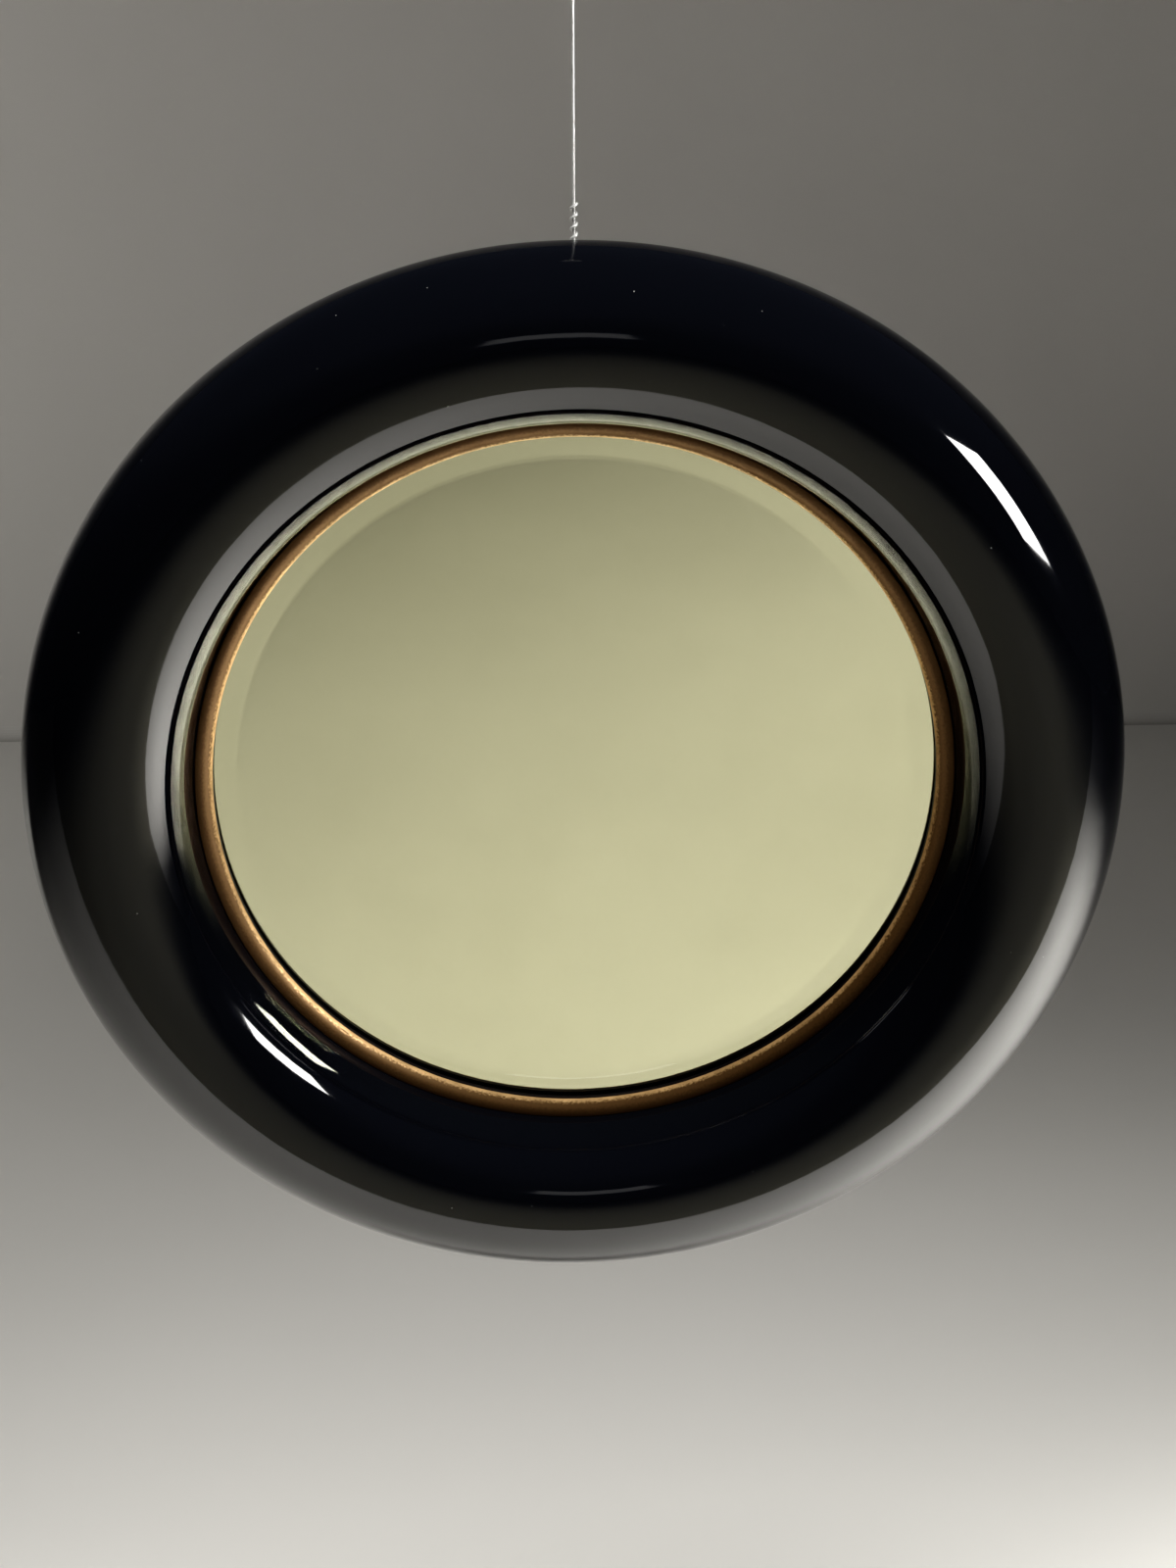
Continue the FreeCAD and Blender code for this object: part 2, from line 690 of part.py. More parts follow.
def make_tail(label, height, turns):
    """The wire's tail, wound upwards round its straight run from the given height."""
    coil = value("tail_coil_radius")
    climb = value("tail_pitch") / (2 * math.pi)
    points = []
    directions = []
    for step in range(turns * TURN_QUARTERS + 1):
        angle = 2 * math.pi * step / TURN_QUARTERS
        across = coil * math.cos(angle)
        towards = coil * math.sin(angle)
        points.append(Vector(across, towards, height + climb * angle))
        directions.append(Vector(-towards, across, climb).normalize())
    edges = []
    for step in range(turns * TURN_QUARTERS):
        edges += biarc(points[step], directions[step], points[step + 1], directions[step + 1])
    print(f"{label}: least gap to itself {least_gap(edges, turns, value('tail_radius')):.2f}")
    return add_shape(label, tube(edges, value("tail_radius")))


def make_tails():
    """Wound tails next to the lower and the upper loop."""
    start = value("tail_start")
    lower = -value("bow_drop") + loop_foot(value("bow_loop")) + start
    upper = -loop_foot(value("thimble_loop")) - start - UPPER_TAIL_TURNS * value("tail_pitch")
    return [make_tail("lower_splice", lower, LOWER_TAIL_TURNS),
            make_tail("upper_splice", upper, UPPER_TAIL_TURNS)]


def make_parts():
    """Every sub-part of the mirror."""
    parts = [
        make_frame_ring(),
        make_gilt_slip(),
        make_mirror_glass(),
        make_disc("silvering", "silver_radius", "silver_back_depth", "glass_back_depth"),
        make_disc("backing_felt", "board_radius", "board_thickness", "silver_back_depth"),
        make_disc("backboard", "board_radius", "", "board_thickness"),
        make_glass_wedges(),
    ]
    parts += [make_turn_button(number) for number in range(1, BUTTON_COUNT + 1)]
    parts += [
        make_turn_button_screws(),
        make_hanger_strap(),
        make_hanger_screws(),
        make_hanger_ring(),
        make_wall_bumpers(),
        make_hanging_thimble(),
        make_hanging_wire(),
    ]
    return parts + make_tails()


def check_document(parts):
    """Stop if any object failed or any sub-part has no sound shape."""
    for item in doc.Objects:
        if "Invalid" in item.State or "Error" in item.State:
            raise ValueError(f"{item.Label} failed: {item.State}")
    for part in parts:
        if part.Shape.isNull() or not part.Shape.isValid():
            raise ValueError(f"{part.Label} has no sound shape")


parts = make_parts()
doc.recompute()
check_document(parts)
os.makedirs("parts", exist_ok=True)
for part in parts:
    part.Shape.exportStep(f"parts/{part.Label}.step")
    box = part.Shape.BoundBox
    print(f"{part.Label}: {len(part.Shape.Solids)} solids, volume {part.Shape.Volume:.1f},"
          f" y {box.YMin:.2f} to {box.YMax:.2f}, z {box.ZMin:.2f} to {box.ZMax:.2f}")
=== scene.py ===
"""Round hanging mirror, dressed: turned ring, gilt slip, bevelled glass, closed back, strap hanger and wire."""
import json
import logging
import math
from dataclasses import dataclass
from enum import Enum
from typing import Any, Optional, Sequence

import bmesh
import bpy
from mathutils import Matrix, Vector


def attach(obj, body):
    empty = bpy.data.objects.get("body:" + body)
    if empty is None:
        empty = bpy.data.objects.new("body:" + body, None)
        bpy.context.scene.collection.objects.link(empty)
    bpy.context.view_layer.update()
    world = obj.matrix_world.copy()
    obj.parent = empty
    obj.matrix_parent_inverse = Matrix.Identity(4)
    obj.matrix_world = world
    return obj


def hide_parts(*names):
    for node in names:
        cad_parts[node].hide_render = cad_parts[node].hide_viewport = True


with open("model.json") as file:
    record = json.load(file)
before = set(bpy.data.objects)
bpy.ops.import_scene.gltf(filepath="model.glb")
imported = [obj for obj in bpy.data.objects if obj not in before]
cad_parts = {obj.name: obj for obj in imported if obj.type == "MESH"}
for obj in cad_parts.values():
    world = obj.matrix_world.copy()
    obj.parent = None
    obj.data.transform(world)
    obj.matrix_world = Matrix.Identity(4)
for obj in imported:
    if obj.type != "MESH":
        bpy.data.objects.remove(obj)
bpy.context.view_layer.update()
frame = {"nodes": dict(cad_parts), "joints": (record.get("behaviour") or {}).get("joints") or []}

LOG = logging.getLogger("round_mirror")
MM = 0.001
FULL_TURN = 2 * math.pi
NUMBER = "NodeSocketFloat"
VECTOR = "NodeSocketVector"
GEOMETRY = "NodeSocketGeometry"
MATERIAL = "NodeSocketMaterial"
SHADER_TREE = "ShaderNodeTree"
SHAPE_TREE = "GeometryNodeTree"
Colour = tuple[float, float, float]
Place = tuple[float, float, float]
Item = bpy.types.Object
Material = bpy.types.Material
Socket = bpy.types.NodeSocket
Sockets = dict[str, Any]


class Body(str, Enum):
    """Bodies that pieces ride on, apart from the turn buttons' own."""

    LINE = "hanging_line"
    MIRROR = "mirror"


class Slot(str, Enum):
    """Material slots of the pieces."""

    LACQUER = "black_lacquer"
    GILDING = "gilding"
    GLASS = "looking_glass"
    FELT = "grey_felt"
    PLYWOOD = "plywood"
    BRASS = "brass_plate"
    ZINC = "zinc_steel"
    BUMPER = "bumper_felt"
    WIRE = "wire_steel"


class Bend(Enum):
    """How a section's edge goes to its next corner."""

    STRAIGHT = 0
    LEFT = 1
    RIGHT = -1


@dataclass(frozen=True)
class HangingPlace:
    """Where the mirror hangs: the leg it swings on, its lean and the place of its back before leaning."""

    hinge: Vector
    lean: float
    drop: float = 450 * MM
    standoff: float = 2.75 * MM

    @classmethod
    def from_joints(cls, joints: Sequence[dict]) -> "HangingPlace":
        """Read the leg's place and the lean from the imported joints.

        Args:
            joints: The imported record's joints.

        Returns:
            The mirror's place.
        """
        named = {joint["name"]: joint for joint in joints}
        axis = named["turn_button_1_pivot"]["axis"]
        return cls(Vector(named["mirror_swing"]["pos_m"]), math.atan2(axis[2], axis[1]))

    def leaning(self) -> Matrix:
        """Turn from the upright mirror to the hanging one."""
        leg = Matrix.Translation(self.hinge)
        return leg @ Matrix.Rotation(self.lean, 4, "X") @ leg.inverted()

    def seat(self) -> Matrix:
        """Place of the mirror's own axes: X across, -Y forward from the flat back, Z up, from the centre."""
        return self.leaning() @ Matrix.Translation((0, -self.standoff, -self.drop))


class NodeDesk:
    """A node tree that is being written."""

    def __init__(self, tree: bpy.types.NodeTree) -> None:
        """Work on a tree."""
        self.tree = tree

    def add(self, kind: str, inputs: Optional[dict] = None, **settings: Any) -> bpy.types.Node:
        """Add a node.

        Args:
            kind: The node's type.
            inputs: Values or sockets for its inputs, by name or number.
            settings: The node's own properties.

        Returns:
            The node.
        """
        node = self.tree.nodes.new(kind)
        for name, value in settings.items():
            setattr(node, name, value)
        for key, value in (inputs or {}).items():
            socket = self.find(node.inputs, key)
            if isinstance(value, Socket):
                self.tree.links.new(value, socket)
            else:
                socket.default_value = value
        return node

    @staticmethod
    def find(sockets: Any, key: Any) -> Socket:
        """The live socket of that name or number."""
        if isinstance(key, int):
            return sockets[key]
        return next(socket for socket in sockets if socket.name == key and socket.enabled)

    def out(self, kind: str, inputs: Optional[dict] = None, output: Any = 0, **settings: Any) -> Socket:
        """Add a node and give one of its outputs.

        Args:
            kind: The node's type.
            inputs: Values or sockets for its inputs.
            output: Name or number of the output.
            settings: The node's own properties.

        Returns:
            The output socket.
        """
        return self.find(self.add(kind, inputs, **settings).outputs, output)

    def join(self, node: bpy.types.Node, sockets: Sockets) -> None:
        """Link sockets to a node's inputs by name."""
        for name, socket in sockets.items():
            self.tree.links.new(socket, node.inputs[name])

    def math(self, operation: str, *values: Any) -> Socket:
        """Result of a math node."""
        return self.out("ShaderNodeMath", dict(enumerate(values)), operation=operation)

    def ease(self, value: Any, low: float, high: float, start: float = 0.0, end: float = 1.0) -> Socket:
        """Map a range smoothly to another.

        Args:
            value: The socket to map.
            low: Where the range starts.
            high: Where the range ends.
            start: Result at low.
            end: Result at high.

        Returns:
            The mapped socket.
        """
        inputs = {"Value": value, "From Min": low, "From Max": high, "To Min": start, "To Max": end}
        return self.out("ShaderNodeMapRange", inputs, "Result", interpolation_type="SMOOTHSTEP")

    def blend(self, share: Any, first: Any, second: Any) -> Socket:
        """Mix two colours, or sockets that give them, by a share."""
        tones = [tone if isinstance(tone, Socket) else (*tone, 1.0) for tone in (first, second)]
        inputs = {"Factor": share, "A": tones[0], "B": tones[1]}
        return self.out("ShaderNodeMix", inputs, "Result", data_type="RGBA")

    def noise(self, vector: Any, scale: Any, detail: float = 2.0) -> Socket:
        """Value of a noise texture."""
        return self.out("ShaderNodeTexNoise", {"Vector": vector, "Scale": scale, "Detail": detail}, "Fac")

    def stretched(self, vector: Any, scale: Place) -> Socket:
        """Coordinates scaled along each axis."""
        return self.out("ShaderNodeMapping", {"Vector": vector, "Scale": scale})

    def placed(self, effect: str, vector: Socket, **values: float) -> Any:
        """Place a shared effect.

        Args:
            effect: Name of its group.
            vector: Coordinates for it.
            values: Its own values, with _ for a blank in their names.

        Returns:
            Its outputs.
        """
        inputs = {label.replace("_", " "): value for label, value in values.items()}
        group = bpy.data.node_groups[effect]
        return self.add("ShaderNodeGroup", {"Vector": vector, **inputs}, node_tree=group).outputs

    def bump(self, height: Any, distance: float) -> Socket:
        """Normal of a height in metres."""
        return self.out("ShaderNodeBump", {"Height": height, "Distance": distance})


def new_group(name: str, kind: str, takes: dict, gives: dict) -> tuple[NodeDesk, Any, bpy.types.Node]:
    """Start a node group with named sockets.

    Args:
        name: The group's name.
        kind: Type of its tree.
        takes: Socket type of each input, or (type, value).
        gives: Socket type of each output.

    Returns:
        The desk, the input node's outputs and the output node.
    """
    tree = bpy.data.node_groups.new(name, kind)
    for label, entry in takes.items():
        socket_type, value = entry if isinstance(entry, tuple) else (entry, None)
        socket = tree.interface.new_socket(label, in_out="INPUT", socket_type=socket_type)
        if value is not None:
            socket.default_value = value
    for label, socket_type in gives.items():
        tree.interface.new_socket(label, in_out="OUTPUT", socket_type=socket_type)
    desk = NodeDesk(tree)
    return desk, desk.add("NodeGroupInput").outputs, desk.add("NodeGroupOutput")


class SharedEffects:
    """Shader groups that several finishes use."""

    RING_PLACE = "RingPlace"
    POLISH_WAVES = "PolishWaves"
    FINE_DUST = "FineDust"
    FINE_RUB = "FineRub"
    FELT_FIBRE = "FeltFibre"

    def build(self) -> None:
        """Make every group once."""
        self.ring_place()
        self.polish_waves()
        self.fine_dust()
        self.fine_rub()
        self.felt_fibre()

    def ring_place(self) -> None:
        """Radius, depth and unrolled place of a point on something turned about Y."""
        desk, takes, gives = new_group(self.RING_PLACE, SHADER_TREE, {"Vector": VECTOR},
                                       {"Radius": NUMBER, "Depth": NUMBER, "Unrolled": VECTOR})
        parts = desk.add("ShaderNodeSeparateXYZ", {"Vector": takes["Vector"]}).outputs
        flat = desk.out("ShaderNodeCombineXYZ", {"X": parts["X"], "Z": parts["Z"]})
        radius = desk.out("ShaderNodeVectorMath", {0: flat}, "Value", operation="LENGTH")
        depth = desk.math("MULTIPLY", parts["Y"], -1.0)
        around = desk.math("ARCTAN2", parts["Z"], parts["X"])
        unrolled = desk.out("ShaderNodeCombineXYZ", {"X": around, "Y": radius, "Z": depth})
        desk.join(gives, {"Radius": radius, "Depth": depth, "Unrolled": unrolled})

    def polish_waves(self) -> None:
        """Height of the long and short unevenness that rubbing leaves in a polished coat."""
        desk, takes, gives = new_group(self.POLISH_WAVES, SHADER_TREE,
                                       {"Vector": VECTOR, "Broad": (NUMBER, 16.0), "Short": (NUMBER, 60.0),
                                        "Short Share": (NUMBER, 0.2)}, {"Height": NUMBER})
        broad = desk.noise(takes["Vector"], takes["Broad"], 1.0)
        short = desk.math("MULTIPLY", desk.noise(takes["Vector"], takes["Short"], 1.0), takes["Short Share"])
        desk.join(gives, {"Height": desk.math("ADD", broad, short)})

    def fine_dust(self) -> None:
        """Mask of scattered small specks."""
        desk, takes, gives = new_group(self.FINE_DUST, SHADER_TREE,
                                       {"Vector": VECTOR, "Scale": (NUMBER, 90.0), "Speck": (NUMBER, 0.06)},
                                       {"Mask": NUMBER})
        cells = desk.add("ShaderNodeTexVoronoi", {"Vector": takes["Vector"], "Scale": takes["Scale"]}).outputs
        lot = desk.out("ShaderNodeSeparateColor", {"Color": cells["Color"]}, "Red")
        size = desk.math("MULTIPLY", takes["Speck"], desk.math("POWER", lot, 4.0))
        desk.join(gives, {"Mask": desk.math("LESS_THAN", cells["Distance"], size)})

    def fine_rub(self) -> None:
        """Mask of fine rubbed lines and broader worn patches."""
        desk, takes, gives = new_group(self.FINE_RUB, SHADER_TREE,
                                       {"Vector": VECTOR, "Lines": (NUMBER, 900.0), "Patches": (NUMBER, 60.0)},
                                       {"Lines": NUMBER, "Patches": NUMBER})
        lines = desk.noise(takes["Vector"], takes["Lines"], 3.0)
        patches = desk.ease(desk.noise(takes["Vector"], takes["Patches"], 3.0), 0.35, 0.68)
        desk.join(gives, {"Lines": lines, "Patches": patches})

    def felt_fibre(self) -> None:
        """Tone and height of pressed fibres."""
        desk, takes, gives = new_group(self.FELT_FIBRE, SHADER_TREE,
                                       {"Vector": VECTOR, "Scale": (NUMBER, 1400.0)},
                                       {"Tone": NUMBER, "Height": NUMBER})
        fibre = desk.out("ShaderNodeTexNoise", {"Vector": takes["Vector"], "Scale": takes["Scale"], "Detail": 4.0,
                                                "Distortion": 2.5}, "Fac")
        clump = desk.noise(takes["Vector"], desk.math("MULTIPLY", takes["Scale"], 0.08))
        tone = desk.math("ADD", desk.math("MULTIPLY", fibre, 0.6), desk.math("MULTIPLY", clump, 0.4))
        desk.join(gives, {"Tone": tone, "Height": fibre})


class Finish:
    """A finish: its material's name, the shader's even values and what varies over the surface."""

    name: str

    def mix(self, place: Optional[HangingPlace] = None) -> Material:
        """Make the material.

        Args:
            place: Where the mirror hangs, whose lean is taken out, or nothing for what isn't on the mirror.

        Returns:
            The material.
        """
        material = bpy.data.materials.new(self.name)
        material.use_nodes = True
        shader = material.node_tree.nodes["Principled BSDF"]
        for label, value in self.even().items():
            shader.inputs[label].default_value = value
        desk = NodeDesk(material.node_tree)
        local = desk.out("ShaderNodeTexCoord", output="Object")
        if place:
            back = place.seat().inverted()
            local = desk.out("ShaderNodeMapping", {"Vector": local, "Location": back.to_translation(),
                                                   "Rotation": back.to_euler()})
        desk.join(shader, self.paint(desk, local))
        return material

    def even(self) -> dict[str, float]:
        """Even values of the shader's inputs."""
        return {}

    def paint(self, desk: NodeDesk, local: Socket) -> Sockets:
        """Sockets for the shader's inputs, from local coordinates."""
        raise NotImplementedError


@dataclass(frozen=True)
class LacquerFinish(Finish):
    """Polished black lacquer, with a satin back."""

    name: str = "polished_black_lacquer"
    colour: Colour = (0.0036, 0.0040, 0.0056)
    back_colour: Colour = (0.010, 0.009, 0.008)
    dust_colour: Colour = (0.10, 0.10, 0.095)
    wave_depth: float = 0.28 * MM
    back_start: float = 0.6 * MM
    back_edge: float = 2.0 * MM

    def even(self) -> dict[str, float]:
        """A coat's index."""
        return {"IOR": 1.52}

    def paint(self, desk: NodeDesk, local: Socket) -> Sockets:
        """Long waves, a few specks and the satin back."""
        ring = desk.placed(SharedEffects.RING_PLACE, local)
        waves = desk.placed(SharedEffects.POLISH_WAVES, local, Broad=17.0, Short=75.0, Short_Share=0.10)["Height"]
        dust = desk.placed(SharedEffects.FINE_DUST, local, Scale=110.0, Speck=0.05)["Mask"]
        rub = desk.placed(SharedEffects.FINE_RUB, local, Lines=500.0, Patches=14.0)
        back = desk.ease(ring["Depth"], self.back_start, self.back_edge, 1.0, 0.0)
        polish = desk.ease(rub["Patches"], 0.0, 1.0, 0.035, 0.075)
        satin = desk.ease(rub["Lines"], 0.3, 0.7, 0.42, 0.60)
        rough = desk.out("ShaderNodeMix", {"Factor": back, "A": polish, "B": satin}, "Result")
        rough = desk.math("MAXIMUM", rough, desk.math("MULTIPLY", dust, 0.6))
        colour = desk.blend(dust, desk.blend(back, self.colour, self.back_colour), self.dust_colour)
        return {"Base Color": colour, "Roughness": rough, "Normal": desk.bump(waves, self.wave_depth)}


@dataclass(frozen=True)
class GildingFinish(Finish):
    """Rubbed bronze gilding: painted shade outside, a painted highlight towards the glass, with a black lip."""

    name: str = "rubbed_gilding"
    # Colour of the painted shade on the outer part of the slip.
    dark: Colour = (0.072, 0.043, 0.021)
    bronze: Colour = (0.135, 0.081, 0.038)
    # Colour of the painted highlight along the edge towards the glass.
    bright: Colour = (0.64, 0.42, 0.205)
    lip: Colour = (0.006, 0.005, 0.005)
    sight: float = 198.6 * MM
    # Band across the slip where the painted highlight fades, and where the painted shade begins.
    highlight_band: tuple[float, float] = (0.5 * MM, 2.0 * MM)
    outer_shade_band: tuple[float, float] = (3.0 * MM, 6.6 * MM)
    uneven: float = 3.0 * MM
    lip_depth: float = 14.8 * MM
    metal: float = 0.74

    def paint(self, desk: NodeDesk, local: Socket) -> Sockets:
        """Bands across the slip, rubbed along it: a painted highlight at the edge towards the glass and painted
        shade on the outer part.
        """
        ring = desk.placed(SharedEffects.RING_PLACE, local)
        along = desk.stretched(ring["Unrolled"], (0.30, 2.2, 2.2))
        rub = desk.placed(SharedEffects.FINE_RUB, along, Lines=420.0, Patches=60.0)
        waves = desk.placed(SharedEffects.POLISH_WAVES, local, Broad=180.0, Short=900.0, Short_Share=0.5)["Height"]
        shift = desk.math("MULTIPLY", desk.math("SUBTRACT", rub["Lines"], 0.5), self.uneven)
        across = desk.math("ADD", desk.math("SUBTRACT", ring["Radius"], self.sight), shift)
        # Painted highlight: lighter colour in a thin band at the edge towards the glass.
        colour = desk.blend(desk.ease(across, *self.highlight_band), self.bright, self.bronze)
        colour = desk.blend(desk.math("MULTIPLY", rub["Patches"], 0.35), colour, self.bronze)
        # Painted shade: darker colour over the outer part of the slip.
        colour = desk.blend(desk.ease(across, *self.outer_shade_band), colour, self.dark)
        lip = desk.math("LESS_THAN", ring["Depth"], self.lip_depth)
        metal = desk.math("MULTIPLY", desk.math("SUBTRACT", 1.0, lip), self.metal)
        return {"Base Color": desk.blend(lip, colour, self.lip), "Metallic": metal,
                "Roughness": desk.ease(rub["Lines"], 0.25, 0.75, 0.36, 0.56), "Normal": desk.bump(waves, 0.05 * MM)}


@dataclass(frozen=True)
class PlateFinish(Finish):
    """Clear, faintly green plate glass."""

    name: str = "clear_plate_glass"
    colour: Colour = (0.955, 0.975, 0.935)
    paler: Colour = (0.98365, 1.0, 0.96305)

    def even(self) -> dict[str, float]:
        """Clear glass."""
        return {"Roughness": 0.0, "IOR": 1.52, "Transmission Weight": 1.0}

    def paint(self, desk: NodeDesk, local: Socket) -> Sockets:
        """Faint clouds of tone and very flat waves."""
        waves = desk.placed(SharedEffects.POLISH_WAVES, local, Broad=7.0, Short=20.0, Short_Share=0.1)["Height"]
        return {"Base Color": desk.blend(desk.noise(local, 5.0), self.colour, self.paler),
                "Normal": desk.bump(waves, 0.01 * MM)}


@dataclass(frozen=True)
class MirrorCoatFinish(Finish):
    """Silver seen through the glass, warmed with age and lightly clouded towards the rim."""

    name: str = "aged_silver_face"
    colour: Colour = (0.92, 0.91, 0.76)
    clouded: Colour = (0.82, 0.81, 0.66)
    rim: tuple[float, float] = (196 * MM, 210 * MM)

    def even(self) -> dict[str, float]:
        """Metal all over."""
        return {"Metallic": 1.0}

    def paint(self, desk: NodeDesk, local: Socket) -> Sockets:
        """Clouds and a duller rim."""
        ring = desk.placed(SharedEffects.RING_PLACE, local)
        cloud = desk.ease(desk.noise(local, 9.0, 4.0), 0.45, 0.75)
        edge = desk.ease(ring["Radius"], *self.rim)
        share = desk.math("MAXIMUM", desk.math("MULTIPLY", cloud, 0.35), desk.math("MULTIPLY", edge, 0.6))
        return {"Base Color": desk.blend(share, self.colour, self.clouded),
                "Roughness": desk.ease(cloud, 0.0, 1.0, 0.004, 0.02)}


@dataclass(frozen=True)
class SilverBackFinish(Finish):
    """Protective paint on the back of the silver."""

    name: str = "silver_backing_paint"
    colour: Colour = (0.42, 0.40, 0.38)
    streak: Colour = (0.34, 0.32, 0.30)

    def paint(self, desk: NodeDesk, local: Socket) -> Sockets:
        """Upright brush streaks."""
        rub = desk.placed(SharedEffects.FINE_RUB, desk.stretched(local, (1.0, 1.0, 0.12)), Lines=260.0, Patches=30.0)
        return {"Base Color": desk.blend(rub["Lines"], self.colour, self.streak),
                "Roughness": desk.ease(rub["Patches"], 0.0, 1.0, 0.45, 0.62),
                "Normal": desk.bump(rub["Lines"], 0.02 * MM)}


@dataclass(frozen=True)
class FeltFinish(Finish):
    """Pressed felt of one tone."""

    name: str
    colour: Colour
    fleck: Colour

    def even(self) -> dict[str, float]:
        """Matt, with a soft sheen."""
        return {"Roughness": 0.95, "Sheen Weight": 0.35, "Sheen Roughness": 0.5}

    def paint(self, desk: NodeDesk, local: Socket) -> Sockets:
        """Fibres."""
        fibre = desk.placed(SharedEffects.FELT_FIBRE, local, Scale=1300.0)
        share = desk.ease(fibre["Tone"], 0.38, 0.64)
        return {"Base Color": desk.blend(share, self.colour, self.fleck),
                "Normal": desk.bump(fibre["Height"], 0.25 * MM)}


@dataclass(frozen=True)
class PlywoodFinish(Finish):
    """Sanded birch plywood with an upright grain."""

    name: str = "birch_plywood"
    pale: Colour = (0.60, 0.44, 0.28)
    grain: Colour = (0.42, 0.27, 0.145)
    aged: Colour = (0.36, 0.235, 0.13)
    aged_rim: tuple[float, float] = (150 * MM, 213 * MM)

    def paint(self, desk: NodeDesk, local: Socket) -> Sockets:
        """Figure, pores, a darker rim and specks."""
        ring = desk.placed(SharedEffects.RING_PLACE, local)
        flow = desk.noise(desk.stretched(local, (9.0, 9.0, 1.2)), 1.0, 3.0)
        bands = desk.out("ShaderNodeTexWave", {"Vector": local, "Scale": 11.0, "Distortion": 3.2, "Detail": 2.0,
                                               "Detail Scale": 0.7, "Phase Offset": flow}, "Fac")
        pores = desk.noise(desk.stretched(local, (900.0, 900.0, 40.0)), 1.0)
        dust = desk.placed(SharedEffects.FINE_DUST, local, Scale=60.0, Speck=0.08)["Mask"]
        share = desk.math("ADD", desk.math("MULTIPLY", bands, 0.34), desk.ease(pores, 0.48, 0.7, 0.0, 0.4))
        edge = desk.ease(ring["Radius"], *self.aged_rim, 0.0, 0.55)
        colour = desk.blend(share, self.pale, self.grain)
        colour = desk.blend(desk.math("MULTIPLY", edge, flow), colour, self.aged)
        colour = desk.blend(desk.math("MULTIPLY", dust, 0.7), colour, self.aged)
        return {"Base Color": colour, "Roughness": desk.ease(pores, 0.3, 0.7, 0.52, 0.72),
                "Normal": desk.bump(pores, 0.08 * MM)}


@dataclass(frozen=True)
class CorkFinish(Finish):
    """Natural cork with darker grains."""

    name: str = "natural_cork"
    pale: Colour = (0.52, 0.35, 0.205)
    dark: Colour = (0.20, 0.11, 0.055)

    def even(self) -> dict[str, float]:
        """Matt."""
        return {"Roughness": 0.9}

    def paint(self, desk: NodeDesk, local: Socket) -> Sockets:
        """Cells and dark grains."""
        cells = desk.out("ShaderNodeTexVoronoi", {"Vector": local, "Scale": 700.0}, "Distance")
        grain = desk.ease(desk.noise(local, 420.0, 3.0), 0.5, 0.66)
        return {"Base Color": desk.blend(grain, self.pale, self.dark), "Normal": desk.bump(cells, 0.3 * MM)}


@dataclass(frozen=True)
class MetalFinish(Finish):
    """Rubbed sheet or wire metal: a bright tone, a dull tone and the direction of its fine lines."""

    name: str
    bright: Colour
    dull: Colour
    rough: tuple[float, float]
    lines: Place
    patches: float = 120.0
    metal: float = 1.0

    def even(self) -> dict[str, float]:
        """Share of metal."""
        return {"Metallic": self.metal}

    def paint(self, desk: NodeDesk, local: Socket) -> Sockets:
        """Fine lines and dull patches."""
        rub = desk.placed(SharedEffects.FINE_RUB, desk.stretched(local, self.lines), Lines=2600.0,
                          Patches=self.patches)
        return {"Base Color": desk.blend(rub["Patches"], self.bright, self.dull),
                "Roughness": desk.ease(rub["Lines"], 0.3, 0.7, *self.rough),
                "Normal": desk.bump(rub["Lines"], 0.012 * MM)}


@dataclass(frozen=True)
class StageFinish(Finish):
    """Even studio surface with a faint mottle."""

    name: str
    colour: Colour
    mottle: Colour
    rough: float

    def even(self) -> dict[str, float]:
        """Matt."""
        return {"Roughness": self.rough}

    def paint(self, desk: NodeDesk, local: Socket) -> Sockets:
        """Mottle."""
        return {"Base Color": desk.blend(desk.noise(local, 1.6, 6.0), self.colour, self.mottle)}


class Finishes:
    """Every finish of the mirror, mixed once."""

    STEEL = MetalFinish("drawn_wire", bright=(0.88, 0.88, 0.86), dull=(0.66, 0.66, 0.65), rough=(0.22, 0.38),
                        lines=(1.0, 1.0, 0.05), metal=0.6)
    BRASS = MetalFinish("dulled_brass", bright=(0.70, 0.50, 0.22), dull=(0.36, 0.235, 0.09), rough=(0.26, 0.46),
                        lines=(1.0, 1.0, 0.06))
    ZINC = MetalFinish("bright_zinc", bright=(0.66, 0.67, 0.69), dull=(0.46, 0.47, 0.49), rough=(0.24, 0.42),
                       lines=(0.08, 1.0, 1.0), patches=260.0)
    GREY_FELT = FeltFinish("grey_sheet_felt", colour=(0.20, 0.20, 0.20), fleck=(0.40, 0.40, 0.40))
    DARK_FELT = FeltFinish("dark_bumper_felt", colour=(0.035, 0.032, 0.032), fleck=(0.12, 0.11, 0.105))

    def __init__(self, place: HangingPlace) -> None:
        """Mix the finishes for a mirror at that place."""
        self.lacquer = LacquerFinish().mix(place)
        self.gilding = GildingFinish().mix(place)
        self.plate = PlateFinish().mix(place)
        self.mirror_coat = MirrorCoatFinish().mix(place)
        self.silver_back = SilverBackFinish().mix(place)
        self.grey_felt = self.GREY_FELT.mix(place)
        self.dark_felt = self.DARK_FELT.mix(place)
        self.plywood = PlywoodFinish().mix(place)
        self.cork = CorkFinish().mix(place)
        self.brass = self.BRASS.mix(place)
        self.zinc = self.ZINC.mix(place)
        self.wire = self.STEEL.mix()


@dataclass(frozen=True)
class Corner:
    """Corner of a turned section in millimetres, and the edge that leaves it."""

    radius: float
    depth: float
    bend: Bend = Bend.STRAIGHT
    arc: float = 0.0


